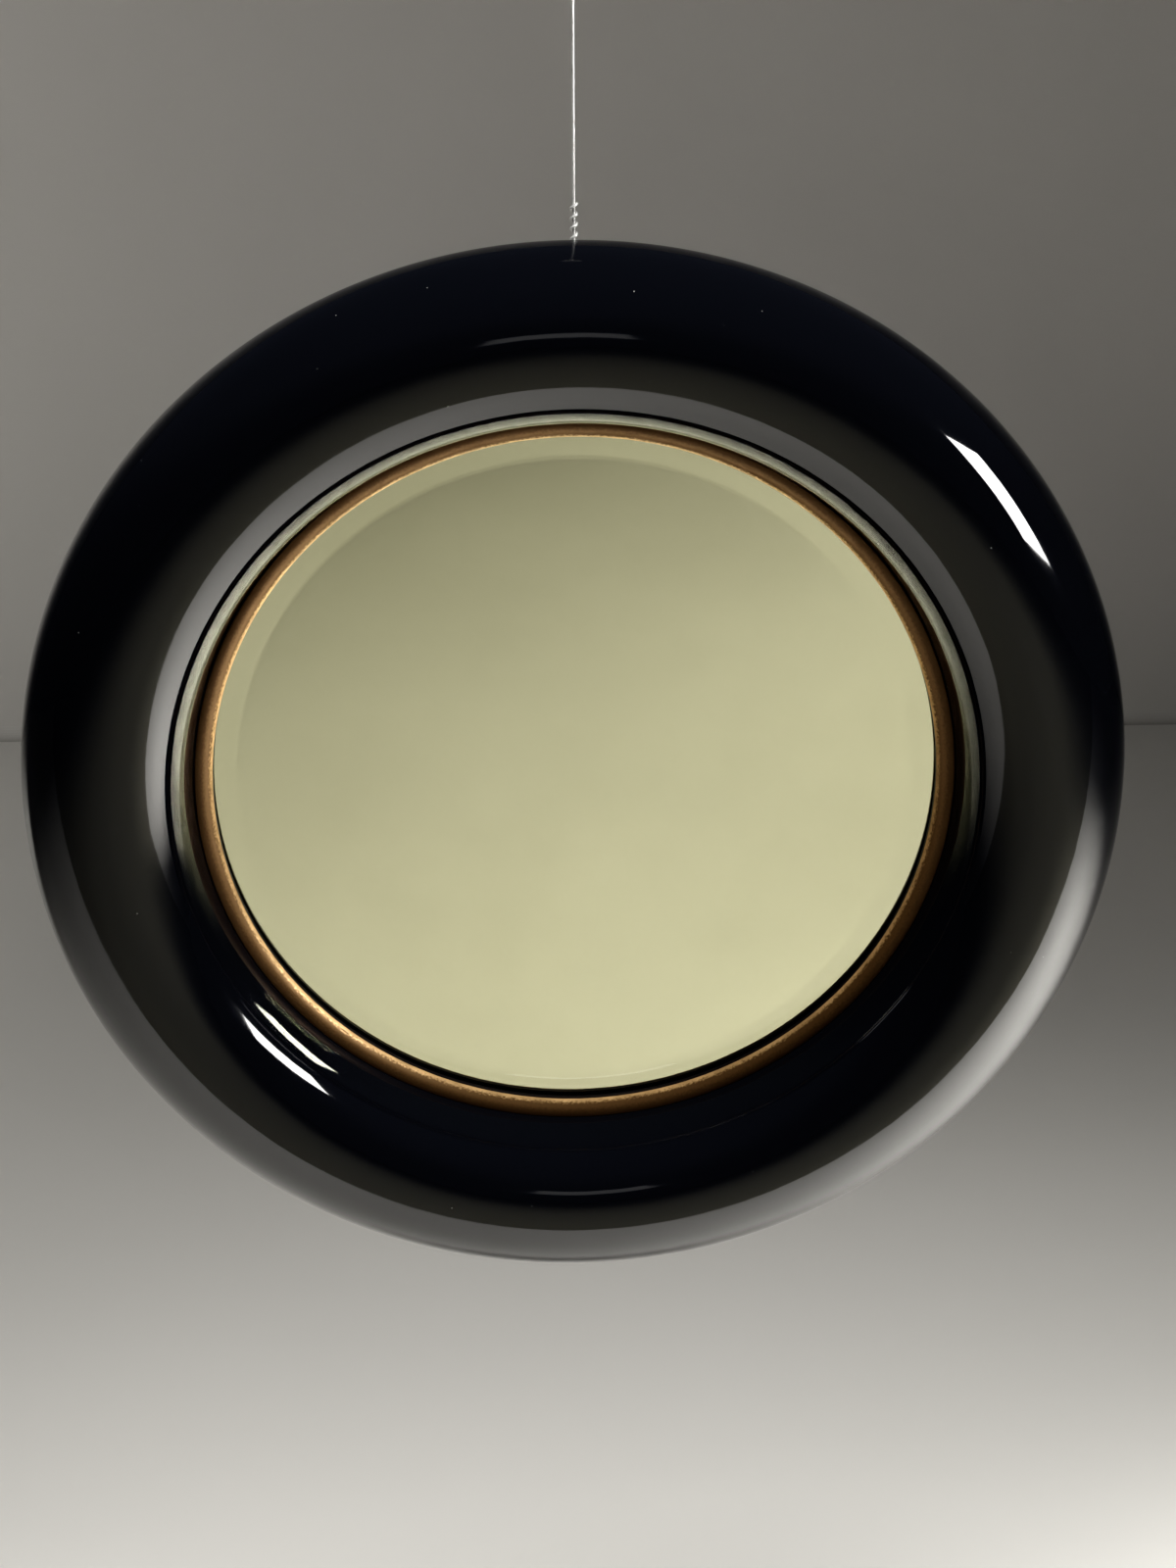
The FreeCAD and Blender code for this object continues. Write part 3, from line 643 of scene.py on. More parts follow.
@dataclass(frozen=True)
class Section:
    """Outline of something turned, as corners joined by straight edges and arcs."""

    corners: tuple[Corner, ...]
    closed: bool = True
    arc_step: float = math.radians(3.0)

    def points(self) -> list[Vector]:
        """Points along the outline, in metres, with the first again at the end of a closed one."""
        corners = list(self.corners)
        pairs = zip(corners, corners[1:] + corners[:1]) if self.closed else zip(corners, corners[1:])
        found = []
        for start, end in pairs:
            found += self.edge(start, end)
        last = corners[0] if self.closed else corners[-1]
        return [point * MM for point in found + [Vector((last.radius, last.depth, 0))]]

    def edge(self, start: Corner, end: Corner) -> list[Vector]:
        """Points of one edge without its end.

        Args:
            start: Corner that the edge leaves.
            end: Corner that it reaches.

        Returns:
            The points in millimetres.
        """
        first = Vector((start.radius, start.depth, 0))
        last = Vector((end.radius, end.depth, 0))
        if start.bend is Bend.STRAIGHT:
            return [first]
        chord = last - first
        across = Vector((-chord.y, chord.x, 0)).normalized()
        reach = math.sqrt(max(start.arc ** 2 - (chord.length / 2) ** 2, 0))
        centre = (first + last) / 2 + across * (reach * start.bend.value)
        spoke = first - centre
        sweep = 2 * math.asin(min(chord.length / 2 / start.arc, 1)) * start.bend.value
        steps = max(2, math.ceil(abs(sweep) / self.arc_step))
        return [centre + Matrix.Rotation(sweep * step / steps, 3, "Z") @ spoke for step in range(steps)]


class ShapeTrees:
    """Geometry Nodes trees that make the turned and the repeated pieces."""

    TURNED = "turned_section"
    COPIES = "copies_on_points"
    WHOLE = "NodeSocketInt"
    MERGE = 1e-6

    def build(self) -> None:
        """Make every tree once."""
        self.turned_section()
        self.copies_on_points()

    def turned_section(self) -> None:
        """Turn a row of (radius, depth) points about Y."""
        desk, takes, gives = new_group(self.TURNED, SHAPE_TREE,
                                       {"Section": GEOMETRY, "Segments": (self.WHOLE, 64),
                                        "Sharp Angle": (NUMBER, 0.5), "Material": MATERIAL}, {"Geometry": GEOMETRY})
        rows = desk.out("GeometryNodeAttributeDomainSize", {"Geometry": takes["Section"]}, "Point Count",
                        component="MESH")
        columns = desk.math("ADD", takes["Segments"], 1)
        grid = desk.out("GeometryNodeMeshGrid", {"Vertices X": rows, "Vertices Y": columns}, "Mesh")
        index = desk.out("GeometryNodeInputIndex")
        row = desk.math("FLOOR", desk.math("DIVIDE", index, columns))
        column = desk.math("SUBTRACT", index, desk.math("MULTIPLY", row, columns))
        turn = desk.math("MULTIPLY", desk.math("DIVIDE", column, takes["Segments"]), FULL_TURN)
        place = desk.out("GeometryNodeInputPosition")
        sampled = desk.out("GeometryNodeSampleIndex", {"Geometry": takes["Section"], "Value": place, "Index": row},
                           "Value", data_type="FLOAT_VECTOR", domain="POINT")
        parts = desk.add("ShaderNodeSeparateXYZ", {"Vector": sampled}).outputs
        across = desk.math("MULTIPLY", parts["X"], desk.math("COSINE", turn))
        height = desk.math("MULTIPLY", parts["X"], desk.math("SINE", turn))
        depth = desk.math("MULTIPLY", parts["Y"], -1.0)
        spot = desk.out("ShaderNodeCombineXYZ", {"X": across, "Y": depth, "Z": height})
        shaped = desk.out("GeometryNodeSetPosition", {"Geometry": grid, "Position": spot})
        joined = desk.out("GeometryNodeMergeByDistance", {"Geometry": shaped, "Distance": self.MERGE})
        smooth = desk.out("GeometryNodeSetShadeSmooth", {"Geometry": joined, "Shade Smooth": True}, domain="FACE")
        angle = desk.out("GeometryNodeInputMeshEdgeAngle", output="Unsigned Angle")
        sharp = desk.math("GREATER_THAN", angle, takes["Sharp Angle"])
        edged = desk.out("GeometryNodeSetShadeSmooth",
                         {"Geometry": smooth, "Selection": sharp, "Shade Smooth": False}, domain="EDGE")
        self.close(desk, edged, takes, gives)

    def copies_on_points(self) -> None:
        """Set a template on each point, turned about Y by a seeded angle."""
        desk, takes, gives = new_group(self.COPIES, SHAPE_TREE,
                                       {"Points": GEOMETRY, "Template": "NodeSocketObject",
                                        "Most Turn": (NUMBER, FULL_TURN), "Seed": (self.WHOLE, 1),
                                        "Material": MATERIAL}, {"Geometry": GEOMETRY})
        template = desk.out("GeometryNodeObjectInfo", {"Object": takes["Template"]}, "Geometry")
        turn = desk.out("FunctionNodeRandomValue", {"Min": 0.0, "Max": takes["Most Turn"], "Seed": takes["Seed"]},
                        "Value", data_type="FLOAT")
        spin = desk.out("FunctionNodeEulerToRotation", {0: desk.out("ShaderNodeCombineXYZ", {"Y": turn})})
        copies = desk.out("GeometryNodeInstanceOnPoints",
                          {"Points": takes["Points"], "Instance": template, "Rotation": spin})
        self.close(desk, copies, takes, gives)

    @staticmethod
    def close(desk: NodeDesk, shape: Socket, takes: Any, gives: bpy.types.Node) -> None:
        """End a tree with real geometry and its material.

        Args:
            desk: The tree's desk.
            shape: The geometry so far.
            takes: The tree's inputs.
            gives: The output node.
        """
        real = desk.out("GeometryNodeRealizeInstances", {"Geometry": shape})
        dressed = desk.out("GeometryNodeSetMaterial", {"Geometry": real, "Material": takes["Material"]})
        desk.join(gives, {"Geometry": dressed})


def linked(name: str, data: Any) -> Item:
    """Link a new object to the scene."""
    item = bpy.data.objects.new(name, data)
    bpy.context.scene.collection.objects.link(item)
    return item


def around(radius: float, angle: float, back: float = 0.0) -> Vector:
    """Point round the mirror's centre in metres, from millimetres and radians."""
    return Vector((radius * math.cos(angle), back, radius * math.sin(angle))) * MM


def arc_points(centre: tuple[float, float], radius: float, start: float, end: float, steps: int) -> list[Vector]:
    """Points of an arc, both ends included.

    Args:
        centre: Its centre in millimetres.
        radius: Its radius in millimetres.
        start: Angle of the first point, in degrees.
        end: Angle of the last point.
        steps: Number of pieces.

    Returns:
        The points in the plane, in metres.
    """
    angles = [math.radians(start + (end - start) * step / steps) for step in range(steps + 1)]
    return [Vector((centre[0] + radius * math.cos(a), centre[1] + radius * math.sin(a))) * MM for a in angles]


class Workshop:
    """Makes meshes and sets finished pieces on their bodies."""

    DOUBLE = 1e-7
    PLATE_SHARP = math.radians(35)
    PLATE_EDGE_STEPS = 3

    def __init__(self, place: HangingPlace, finishes: Finishes) -> None:
        """Keep the mirror's place and the finishes."""
        self.place = place
        self.finishes = finishes

    @staticmethod
    def from_points(name: str, points: Sequence[Vector]) -> Item:
        """An object whose mesh is bare points."""
        mesh = bpy.data.meshes.new(name)
        mesh.from_pydata([tuple(point) for point in points], [], [])
        return linked(name, mesh)

    @classmethod
    def settle(cls, item: Item) -> bpy.types.Mesh:
        """Give an object's evaluated shape as a plain mesh, faces outward.

        Args:
            item: Object with modifiers, or a curve.

        Returns:
            The plain mesh.
        """
        bpy.context.view_layer.update()
        graph = bpy.context.evaluated_depsgraph_get()
        mesh = bpy.data.meshes.new_from_object(item.evaluated_get(graph))
        mesh.name = item.name
        work = bmesh.new()
        work.from_mesh(mesh)
        bmesh.ops.remove_doubles(work, verts=work.verts, dist=cls.DOUBLE)
        if work.calc_volume(signed=True) < 0:
            bmesh.ops.reverse_faces(work, faces=work.faces)
        work.to_mesh(mesh)
        work.free()
        return mesh

    @staticmethod
    def dress(mesh: bpy.types.Mesh, *finishes: Material) -> None:
        """Give a mesh its materials, with every face in the first."""
        mesh.materials.clear()
        for finish in finishes:
            mesh.materials.append(finish)
        for face in mesh.polygons:
            face.material_index = 0

    @staticmethod
    def crisp(mesh: bpy.types.Mesh, sharp: float) -> None:
        """Shade a mesh smooth with crisp edges above an angle."""
        mesh.shade_smooth()
        mesh.set_sharp_from_angle(angle=sharp)

    def shaped(self, item: Item, tree: str, inputs: dict) -> Item:
        """Run a shape tree on an object and keep the result as its mesh.

        Args:
            item: Object with the tree's points.
            tree: The tree's name.
            inputs: Values of the tree's named inputs.

        Returns:
            The object.
        """
        group = bpy.data.node_groups[tree]
        modifier = item.modifiers.new(tree, "NODES")
        modifier.node_group = group
        for socket in group.interface.items_tree:
            if socket.in_out == "INPUT" and socket.name in inputs:
                modifier[socket.identifier] = inputs[socket.name]
        mesh = self.settle(item)
        item.modifiers.clear()
        item.data = mesh
        self.dress(mesh, inputs["Material"])
        return item

    def turned(self, name: str, section: Section, finish: Material, segments: int,
               sharp: float = math.radians(24)) -> Item:
        """A piece turned from a section, on its own axes.

        Args:
            name: The piece's name.
            section: Its outline.
            finish: Its material.
            segments: Faces round it.
            sharp: Angle above which an edge is crisp.

        Returns:
            The object.
        """
        item = self.from_points(name, section.points())
        return self.shaped(item, ShapeTrees.TURNED, {"Segments": segments, "Sharp Angle": sharp, "Material": finish})

    def copies(self, name: str, template: Item, points: Sequence[Vector], finish: Material, seed: int) -> Item:
        """A template set on several points as one piece.

        Args:
            name: The piece's name.
            template: Object to repeat, deleted afterwards.
            points: Where the copies go, on the mirror's axes.
            finish: Their material.
            seed: Seed of their turning.

        Returns:
            The object.
        """
        item = self.shaped(self.from_points(name, points), ShapeTrees.COPIES,
                           {"Template": template, "Seed": seed, "Material": finish})
        bpy.data.objects.remove(template)
        return item

    @staticmethod
    def spline(curve: bpy.types.Curve, kind: str, points: Sequence[Vector], closed: bool) -> bpy.types.Spline:
        """Draw a spline on a curve.

        Args:
            curve: The curve.
            kind: The spline's type.
            points: Its points in metres.
            closed: Whether it ends where it starts.

        Returns:
            The spline.
        """
        spline = curve.splines.new(kind)
        spline.points.add(len(points) - 1)
        for point, spot in zip(spline.points, points):
            point.co = (*spot.to_3d(), 1)
        spline.use_cyclic_u = closed
        return spline

    def baked(self, name: str, sketch: Item, finish: Material, sharp: float) -> Item:
        """A piece from a sketched curve, which is deleted.

        Args:
            name: The piece's name.
            sketch: The curve.
            finish: The piece's material.
            sharp: Angle above which an edge is crisp.

        Returns:
            The object.
        """
        item = linked(name, self.settle(sketch))
        bpy.data.objects.remove(sketch)
        self.dress(item.data, finish)
        self.crisp(item.data, sharp)
        return item

    def plate(self, name: str, outlines: Sequence[Sequence[Vector]], thickness: float, edge: float,
              finish: Material) -> Item:
        """A flat plate with rounded edges from closed outlines in XY, centred in Z.

        Args:
            name: The piece's name.
            outlines: Outer outline and holes, in metres.
            thickness: Whole thickness in millimetres.
            edge: Radius of the rounded edge in millimetres.
            finish: Its material.

        Returns:
            The object.
        """
        curve = bpy.data.curves.new(name, "CURVE")
        curve.dimensions = "2D"
        curve.fill_mode = "BOTH"
        curve.extrude = (thickness / 2 - edge) * MM
        curve.bevel_depth = edge * MM
        curve.bevel_resolution = self.PLATE_EDGE_STEPS
        curve.offset = -edge * MM
        for outline in outlines:
            self.spline(curve, "POLY", outline, closed=True)
        return self.baked(name, linked(f"{name}_outline", curve), finish, self.PLATE_SHARP)

    def on_mirror(self, item: Item, move: Optional[Matrix] = None) -> Item:
        """Put a piece that was made on the mirror's axes where it hangs."""
        item.data.transform(self.place.seat() @ (move or Matrix.Identity(4)))
        return item

    @staticmethod
    def hand_over(item: Item, body: str, slot: Slot, *nodes: str) -> Item:
        """Ride a piece on its body and hide the solids that it stands for.

        Args:
            item: The finished piece.
            body: The body that it rides on.
            slot: Its material slot, not used.
            nodes: The CAD nodes that it stands for.

        Returns:
            The piece.
        """
        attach(item, body)
        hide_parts(*nodes)
        LOG.info("%s rides on %s, for %s", item.name, body, ", ".join(nodes))
        return item


def dress_node(name: str, finish: Material) -> None:
    """Give a CAD node that stays its finish."""
    for slot in frame["nodes"][name].material_slots:
        slot.material = finish
    LOG.info("%s stays, in %s", name, finish.name)


@dataclass(frozen=True)
class PhotoCamera:
    """Camera that was fitted to the ring's outline and the sight edge, on the upright mirror."""

    aim: Place = (0.0, -22.75 * MM, -450 * MM)
    distance: float = 1.288
    azimuth: float = math.radians(-1.9)
    elevation: float = math.radians(24.3)
    turn: float = math.radians(-2.2)
    tilt: float = math.radians(65.9)
    lens: float = 54.0
    sensor: float = 36.0

    def build(self, place: HangingPlace) -> Vector:
        """Set the scene's camera.

        Args:
            place: Where the mirror hangs.

        Returns:
            The camera's place.
        """
        data = bpy.data.cameras.new("photo_camera")
        data.lens = self.lens
        data.sensor_width = self.sensor
        data.dof.use_dof = False
        camera = linked("photo_camera", data)
        level = math.cos(self.elevation) * self.distance
        spot = Vector(self.aim) + Vector((math.sin(self.azimuth) * level, -math.cos(self.azimuth) * level,
                                          math.sin(self.elevation) * self.distance))
        turn = Matrix.Rotation(self.turn, 4, "Z") @ Matrix.Rotation(self.tilt, 4, "X")
        camera.matrix_world = place.leaning() @ Matrix.Translation(spot) @ turn
        bpy.context.scene.camera = camera
        return camera.matrix_world.to_translation()


@dataclass(frozen=True)
class SoftLight:
    """Rectangular lamp, straight down where it has no aim. Its spread is in degrees."""

    name: str
    spot: Place
    size: tuple[float, float]
    power: float
    aim: Optional[Place] = None
    spread: float = 180.0
    in_reflections: bool = False
    colour: Colour = (1.0, 0.985, 0.955)

    def build(self) -> None:
        """Hang the lamp."""
        data = bpy.data.lights.new(self.name, "AREA")
        data.shape = "RECTANGLE"
        data.size, data.size_y = self.size
        data.energy = self.power
        data.color = self.colour
        data.spread = math.radians(self.spread)
        lamp = linked(self.name, data)
        lamp.location = self.spot
        way = Vector(self.aim) - Vector(self.spot) if self.aim else Vector((0, 0, -1))
        lamp.rotation_euler = way.to_track_quat("-Z", "Y").to_euler()
        lamp.visible_camera = False
        lamp.visible_glossy = self.in_reflections
        lamp.visible_transmission = self.in_reflections


@dataclass(frozen=True)
class Studio:
    """Grey and pale floor, grey wall, a window-like key lamp, a dim far window and lamps that gloss doesn't show."""

    floor_below: float = 1.60
    wall_away: float = 5.05
    half_width: float = 7.0
    front: float = -9.0
    wall_height: float = 4.5
    cove: float = 0.03
    cove_steps: int = 8
    pale_edge: tuple[tuple[float, float], ...] = ((-7.0, -1.5), (-1.8, -1.15), (0.0, -1.0), (1.0, -1.1),
                                                  (1.7, -1.25), (7.0, -1.8))
    surfaces: tuple[StageFinish, ...] = (
        StageFinish("grey_floor", colour=(0.275, 0.266, 0.216), mottle=(0.222, 0.215, 0.173), rough=0.8),
        StageFinish("pale_floor", colour=(0.80, 0.79, 0.76), mottle=(0.74, 0.73, 0.70), rough=0.8),
        StageFinish("grey_wall", colour=(0.48, 0.47, 0.45), mottle=(0.45, 0.44, 0.42), rough=0.9),
    )
    lamps: tuple[SoftLight, ...] = (
        SoftLight("window_key", (2.09, -1.0, 0.20), (0.55, 0.75), 52.0, aim=(0.1, 0.0, -0.40), in_reflections=True),
        SoftLight("far_window", (0.05, -6.5, 0.35), (1.15, 0.6), 2.0, aim=(0.0, 0.0, -0.42), in_reflections=True),
        SoftLight("overhead_soft", (-0.23, -0.95, 1.77), (0.8, 0.8), 57.0, spread=90.0),
        SoftLight("front_soft", (1.35, -2.7, 0.85), (0.8, 0.8), 66.0, spread=128.0),
        SoftLight("floor_pool", (1.48, -0.42, 0.85), (0.6, 0.6), 62.0, spread=63.0),
        SoftLight("wall_wash", (-2.7, 1.6, -0.7), (0.8, 0.8), 28.0, aim=(-1.5, 3.84, -0.2)),
        SoftLight("back_soft", (-2.4, 1.8, -0.10), (0.5, 0.5), 1.7, aim=(0.0, 0.0, -0.43), spread=20.0),
    )
    dark: Colour = (0.006, 0.006, 0.007)
    sky: Colour = (0.058, 0.064, 0.080)
    horizon: Colour = (0.012, 0.012, 0.014)
    beyond: Colour = (0.15, 0.147, 0.14)
    sky_rise: tuple[float, float] = (0.15, 0.6)
    tone_toe: float = 0.05
    tone_places: tuple[float, ...] = (0.004, 0.01, 0.02, 0.04, 0.08, 0.15, 0.3, 0.6)

    def build(self, eye: Vector) -> None:
        """Set up the studio round a camera at that place."""
        self.backdrop(eye)
        for lamp in self.lamps:
            lamp.build()
        self.world()
        self.tones()

    def backdrop(self, eye: Vector) -> None:
        """Grey floor in front, pale floor under the mirror and a grey wall with a small cove.

        Args:
            eye: The camera's place.
        """
        floor = eye.z - self.floor_below
        wall = eye.y + self.wall_away
        line = []
        for step in range(self.cove_steps + 1):
            turn = math.pi / 2 * step / self.cove_steps
            line.append((wall - self.cove + self.cove * math.sin(turn),
                         floor + self.cove - self.cove * math.cos(turn)))
        line.append((wall, floor + self.wall_height))
        rows = [(side * self.half_width, y, z) for y, z in line for side in (-1, 1)]
        edge = [(x, y, floor) for x, y in self.pale_edge]
        front = [(side * self.half_width, self.front, floor) for side in (1, -1)]
        first = len(front) + len(edge)
        faces = [tuple(range(first)), (first + 1, first, *range(len(front), first))]
        for low in range(first, first + 2 * (len(line) - 1), 2):
            faces.append((low, low + 1, low + 3, low + 2))
        mesh = bpy.data.meshes.new("studio_backdrop")
        mesh.from_pydata(front + edge + rows, [], faces)
        for surface in self.surfaces:
            mesh.materials.append(surface.mix())
        for face in mesh.polygons:
            face.material_index = min(face.index, len(self.surfaces) - 1)
        linked("studio_backdrop", mesh)

    def tones(self) -> None:
        """Film-like tones: shadows sink towards black, lights stay."""
        settings = bpy.context.scene.view_settings
        settings.view_transform = "Standard"
        settings.use_curve_mapping = True
        combined = settings.curve_mapping.curves[3]
        for place in self.tone_places:
            combined.points.new(place, (1 + self.tone_toe) * place ** 2 / (place + self.tone_toe))
        settings.curve_mapping.update()

    def world(self) -> None:
        """Dark surroundings, with a dim cool ceiling that only gloss shows and a grey that only the camera sees."""
        world = bpy.data.worlds.new("dark_room")
        bpy.context.scene.world = world
        world.use_nodes = True
        desk = NodeDesk(world.node_tree)
        way = desk.out("ShaderNodeTexCoord", output="Generated")
        height = desk.add("ShaderNodeSeparateXYZ", {"Vector": way}).outputs["Z"]
        rays = desk.add("ShaderNodeLightPath").outputs
        tone = desk.blend(desk.ease(height, *self.sky_rise), self.horizon, self.sky)
        tone = desk.blend(rays["Is Glossy Ray"], self.dark, tone)
        tone = desk.blend(rays["Is Camera Ray"], tone, self.beyond)
        desk.join(world.node_tree.nodes["Background"], {"Color": tone})


@dataclass(frozen=True)
class TurnedRing:
    """Lacquered ring and the gilt slip in it. Lengths in millimetres, angles in degrees."""

    outer: float = 300.0
    roll: float = 46.0
    slope: float = 56.0
    slope_angle: float = 15.0
    shoulder: float = 45.0
    shoulder_angle: float = 35.0
    brow: float = 34.13
    wall_angle: float = 78.0
    edge_land: float = 2.0
    rebate_width: float = 6.0
    back_depth: float = 20.0
    slip_clearance: float = 0.3
    gilt_width: float = 9.4
    gilt_round: float = 9.0
    gilt_drop: float = 5.0
    lip_depth: float = 3.6
    ring_segments: int = 400
    slip_segments: int = 320
    ring_arc_step: float = math.radians(1.8)

    def build(self, shop: Workshop) -> None:
        """Make the ring and the slip."""
        ring = shop.turned("turned_ring", self.ring_section(), shop.finishes.lacquer, self.ring_segments)
        shop.hand_over(shop.on_mirror(ring), Body.MIRROR.value, Slot.LACQUER, "frame_ring")
        slip = shop.turned("gilded_slip", self.slip_section(), shop.finishes.gilding, self.slip_segments)
        shop.hand_over(shop.on_mirror(slip), Body.MIRROR.value, Slot.GILDING, "gilt_slip")

    def inner_corners(self) -> list[Corner]:
        """Corners from the crest inwards: slope, shoulder and brow, then a steep wall down to the sight edge."""
        radius = self.outer - self.roll
        depth = self.back_depth + self.roll
        angle = 0.0
        corners = []
        for arc, degrees in ((self.slope, self.slope_angle), (self.shoulder, self.shoulder_angle),
                             (self.brow, self.wall_angle)):
            corners.append(Corner(radius, depth, Bend.LEFT, arc))
            turn = math.radians(degrees)
            radius -= arc * (math.sin(turn) - math.sin(angle))
            depth -= arc * (math.cos(angle) - math.cos(turn))
            angle = turn
        edge = radius - (depth - self.back_depth) / math.tan(angle)
        return corners + [Corner(radius, depth), Corner(edge, self.back_depth)]

    def edge_radius(self) -> float:
        """Radius of the wooden sight edge."""
        return self.inner_corners()[-1].radius

    def ring_section(self) -> Section:
        """Back, roll, the inner curves, sight edge and rebate."""
        edge = self.edge_radius()
        rebate = edge + self.rebate_width
        shelf = self.back_depth - self.edge_land
        return Section((
            Corner(rebate, 0),
            Corner(self.outer - self.back_depth, 0, Bend.LEFT, self.back_depth),
            Corner(self.outer, self.back_depth, Bend.LEFT, self.roll),
            *self.inner_corners(),
            Corner(edge, shelf),
            Corner(rebate, shelf),
        ), arc_step=self.ring_arc_step)

    def slip_section(self) -> Section:
        """Flange behind the wooden edge, sloping bead and a lip in front of the glass."""
        edge = self.edge_radius()
        rim = edge - self.slip_clearance
        outer = edge + self.rebate_width - self.slip_clearance
        sight = edge - self.gilt_width
        inner_depth = self.back_depth - self.gilt_drop
        slip_back = inner_depth - self.lip_depth
        shelf = self.back_depth - self.edge_land
        return Section((
            Corner(outer, slip_back),
            Corner(outer, shelf),
            Corner(rim, shelf),
            Corner(rim, self.back_depth, Bend.LEFT, self.gilt_round),
            Corner(sight, inner_depth),
            Corner(sight, slip_back),
        ))


@dataclass(frozen=True)
class LookingGlass:
    """Bevelled plate with its silver. Lengths in millimetres."""

    radius: float = 210.0
    bevel: float = 24.0
    back: float = 7.28
    front: float = 12.25
    edge: float = 10.6
    segments: int = 320
    sharp: float = math.radians(3)
    flat_share: float = 0.9

    def build(self, shop: Workshop) -> None:
        """Make the plate, mirror its back and paint the silver's back."""
        section = Section((
            Corner(0, self.back),
            Corner(self.radius, self.back),
            Corner(self.radius, self.edge),
            Corner(self.radius - self.bevel, self.front),
            Corner(0, self.front),
        ), closed=False)
        glass = shop.turned("looking_glass", section, shop.finishes.plate, self.segments, self.sharp)
        shop.dress(glass.data, shop.finishes.plate, shop.finishes.mirror_coat)
        for face in glass.data.polygons:
            face.material_index = int(face.normal.y > self.flat_share)
        shop.hand_over(shop.on_mirror(glass), Body.MIRROR.value, Slot.GLASS, "mirror_glass")
        dress_node("silvering", shop.finishes.silver_back)


@dataclass(frozen=True)
class SlottedScrew:
    """Round-head wood screw with a slot. Lengths in millimetres."""

    shank: float = 1.6
    length: float = 16.0
    tip: float = 3.0
    head: float = 3.6
    head_height: float = 2.1
    slot_width: float = 0.9
    slot_depth: float = 1.0
    segments: int = 32
    arc_step: float = math.radians(8)
    sharp: float = math.radians(30)

    def template(self, shop: Workshop, finish: Material) -> Item:
        """Make one screw about Y, head behind the origin.

        Args:
            shop: The workshop.
            finish: The screw's material.

        Returns:
            The screw.
        """
        round_radius = (self.head ** 2 + self.head_height ** 2) / (2 * self.head_height)
        section = Section((
            Corner(0, -self.head_height, Bend.LEFT, round_radius),
            Corner(self.head, 0),
            Corner(self.shank, 0),
            Corner(self.shank, self.length - self.tip),
            Corner(0, self.length),
        ), closed=False, arc_step=self.arc_step)
        screw = shop.turned("screw_template", section, finish, self.segments)
        cutter = self.cutter()
        cut = screw.modifiers.new("slot", "BOOLEAN")
        cut.operation = "DIFFERENCE"
        cut.solver = "EXACT"
        cut.object = cutter
        mesh = shop.settle(screw)
        screw.modifiers.clear()
        screw.data = mesh
        shop.crisp(mesh, self.sharp)
        bpy.data.objects.remove(cutter)
        return screw

    def cutter(self) -> Item:
        """Block that cuts the slot."""
        work = bmesh.new()
        bmesh.ops.create_cube(work, size=1.0)
        size = Matrix.Diagonal((4 * self.head * MM, 2 * self.slot_depth * MM, self.slot_width * MM, 1.0))
        bmesh.ops.transform(work, matrix=Matrix.Translation((0, self.head_height * MM, 0)) @ size, verts=work.verts)
        mesh = bpy.data.meshes.new("slot_cutter")
        work.to_mesh(mesh)
        work.free()
        return linked("slot_cutter", mesh)


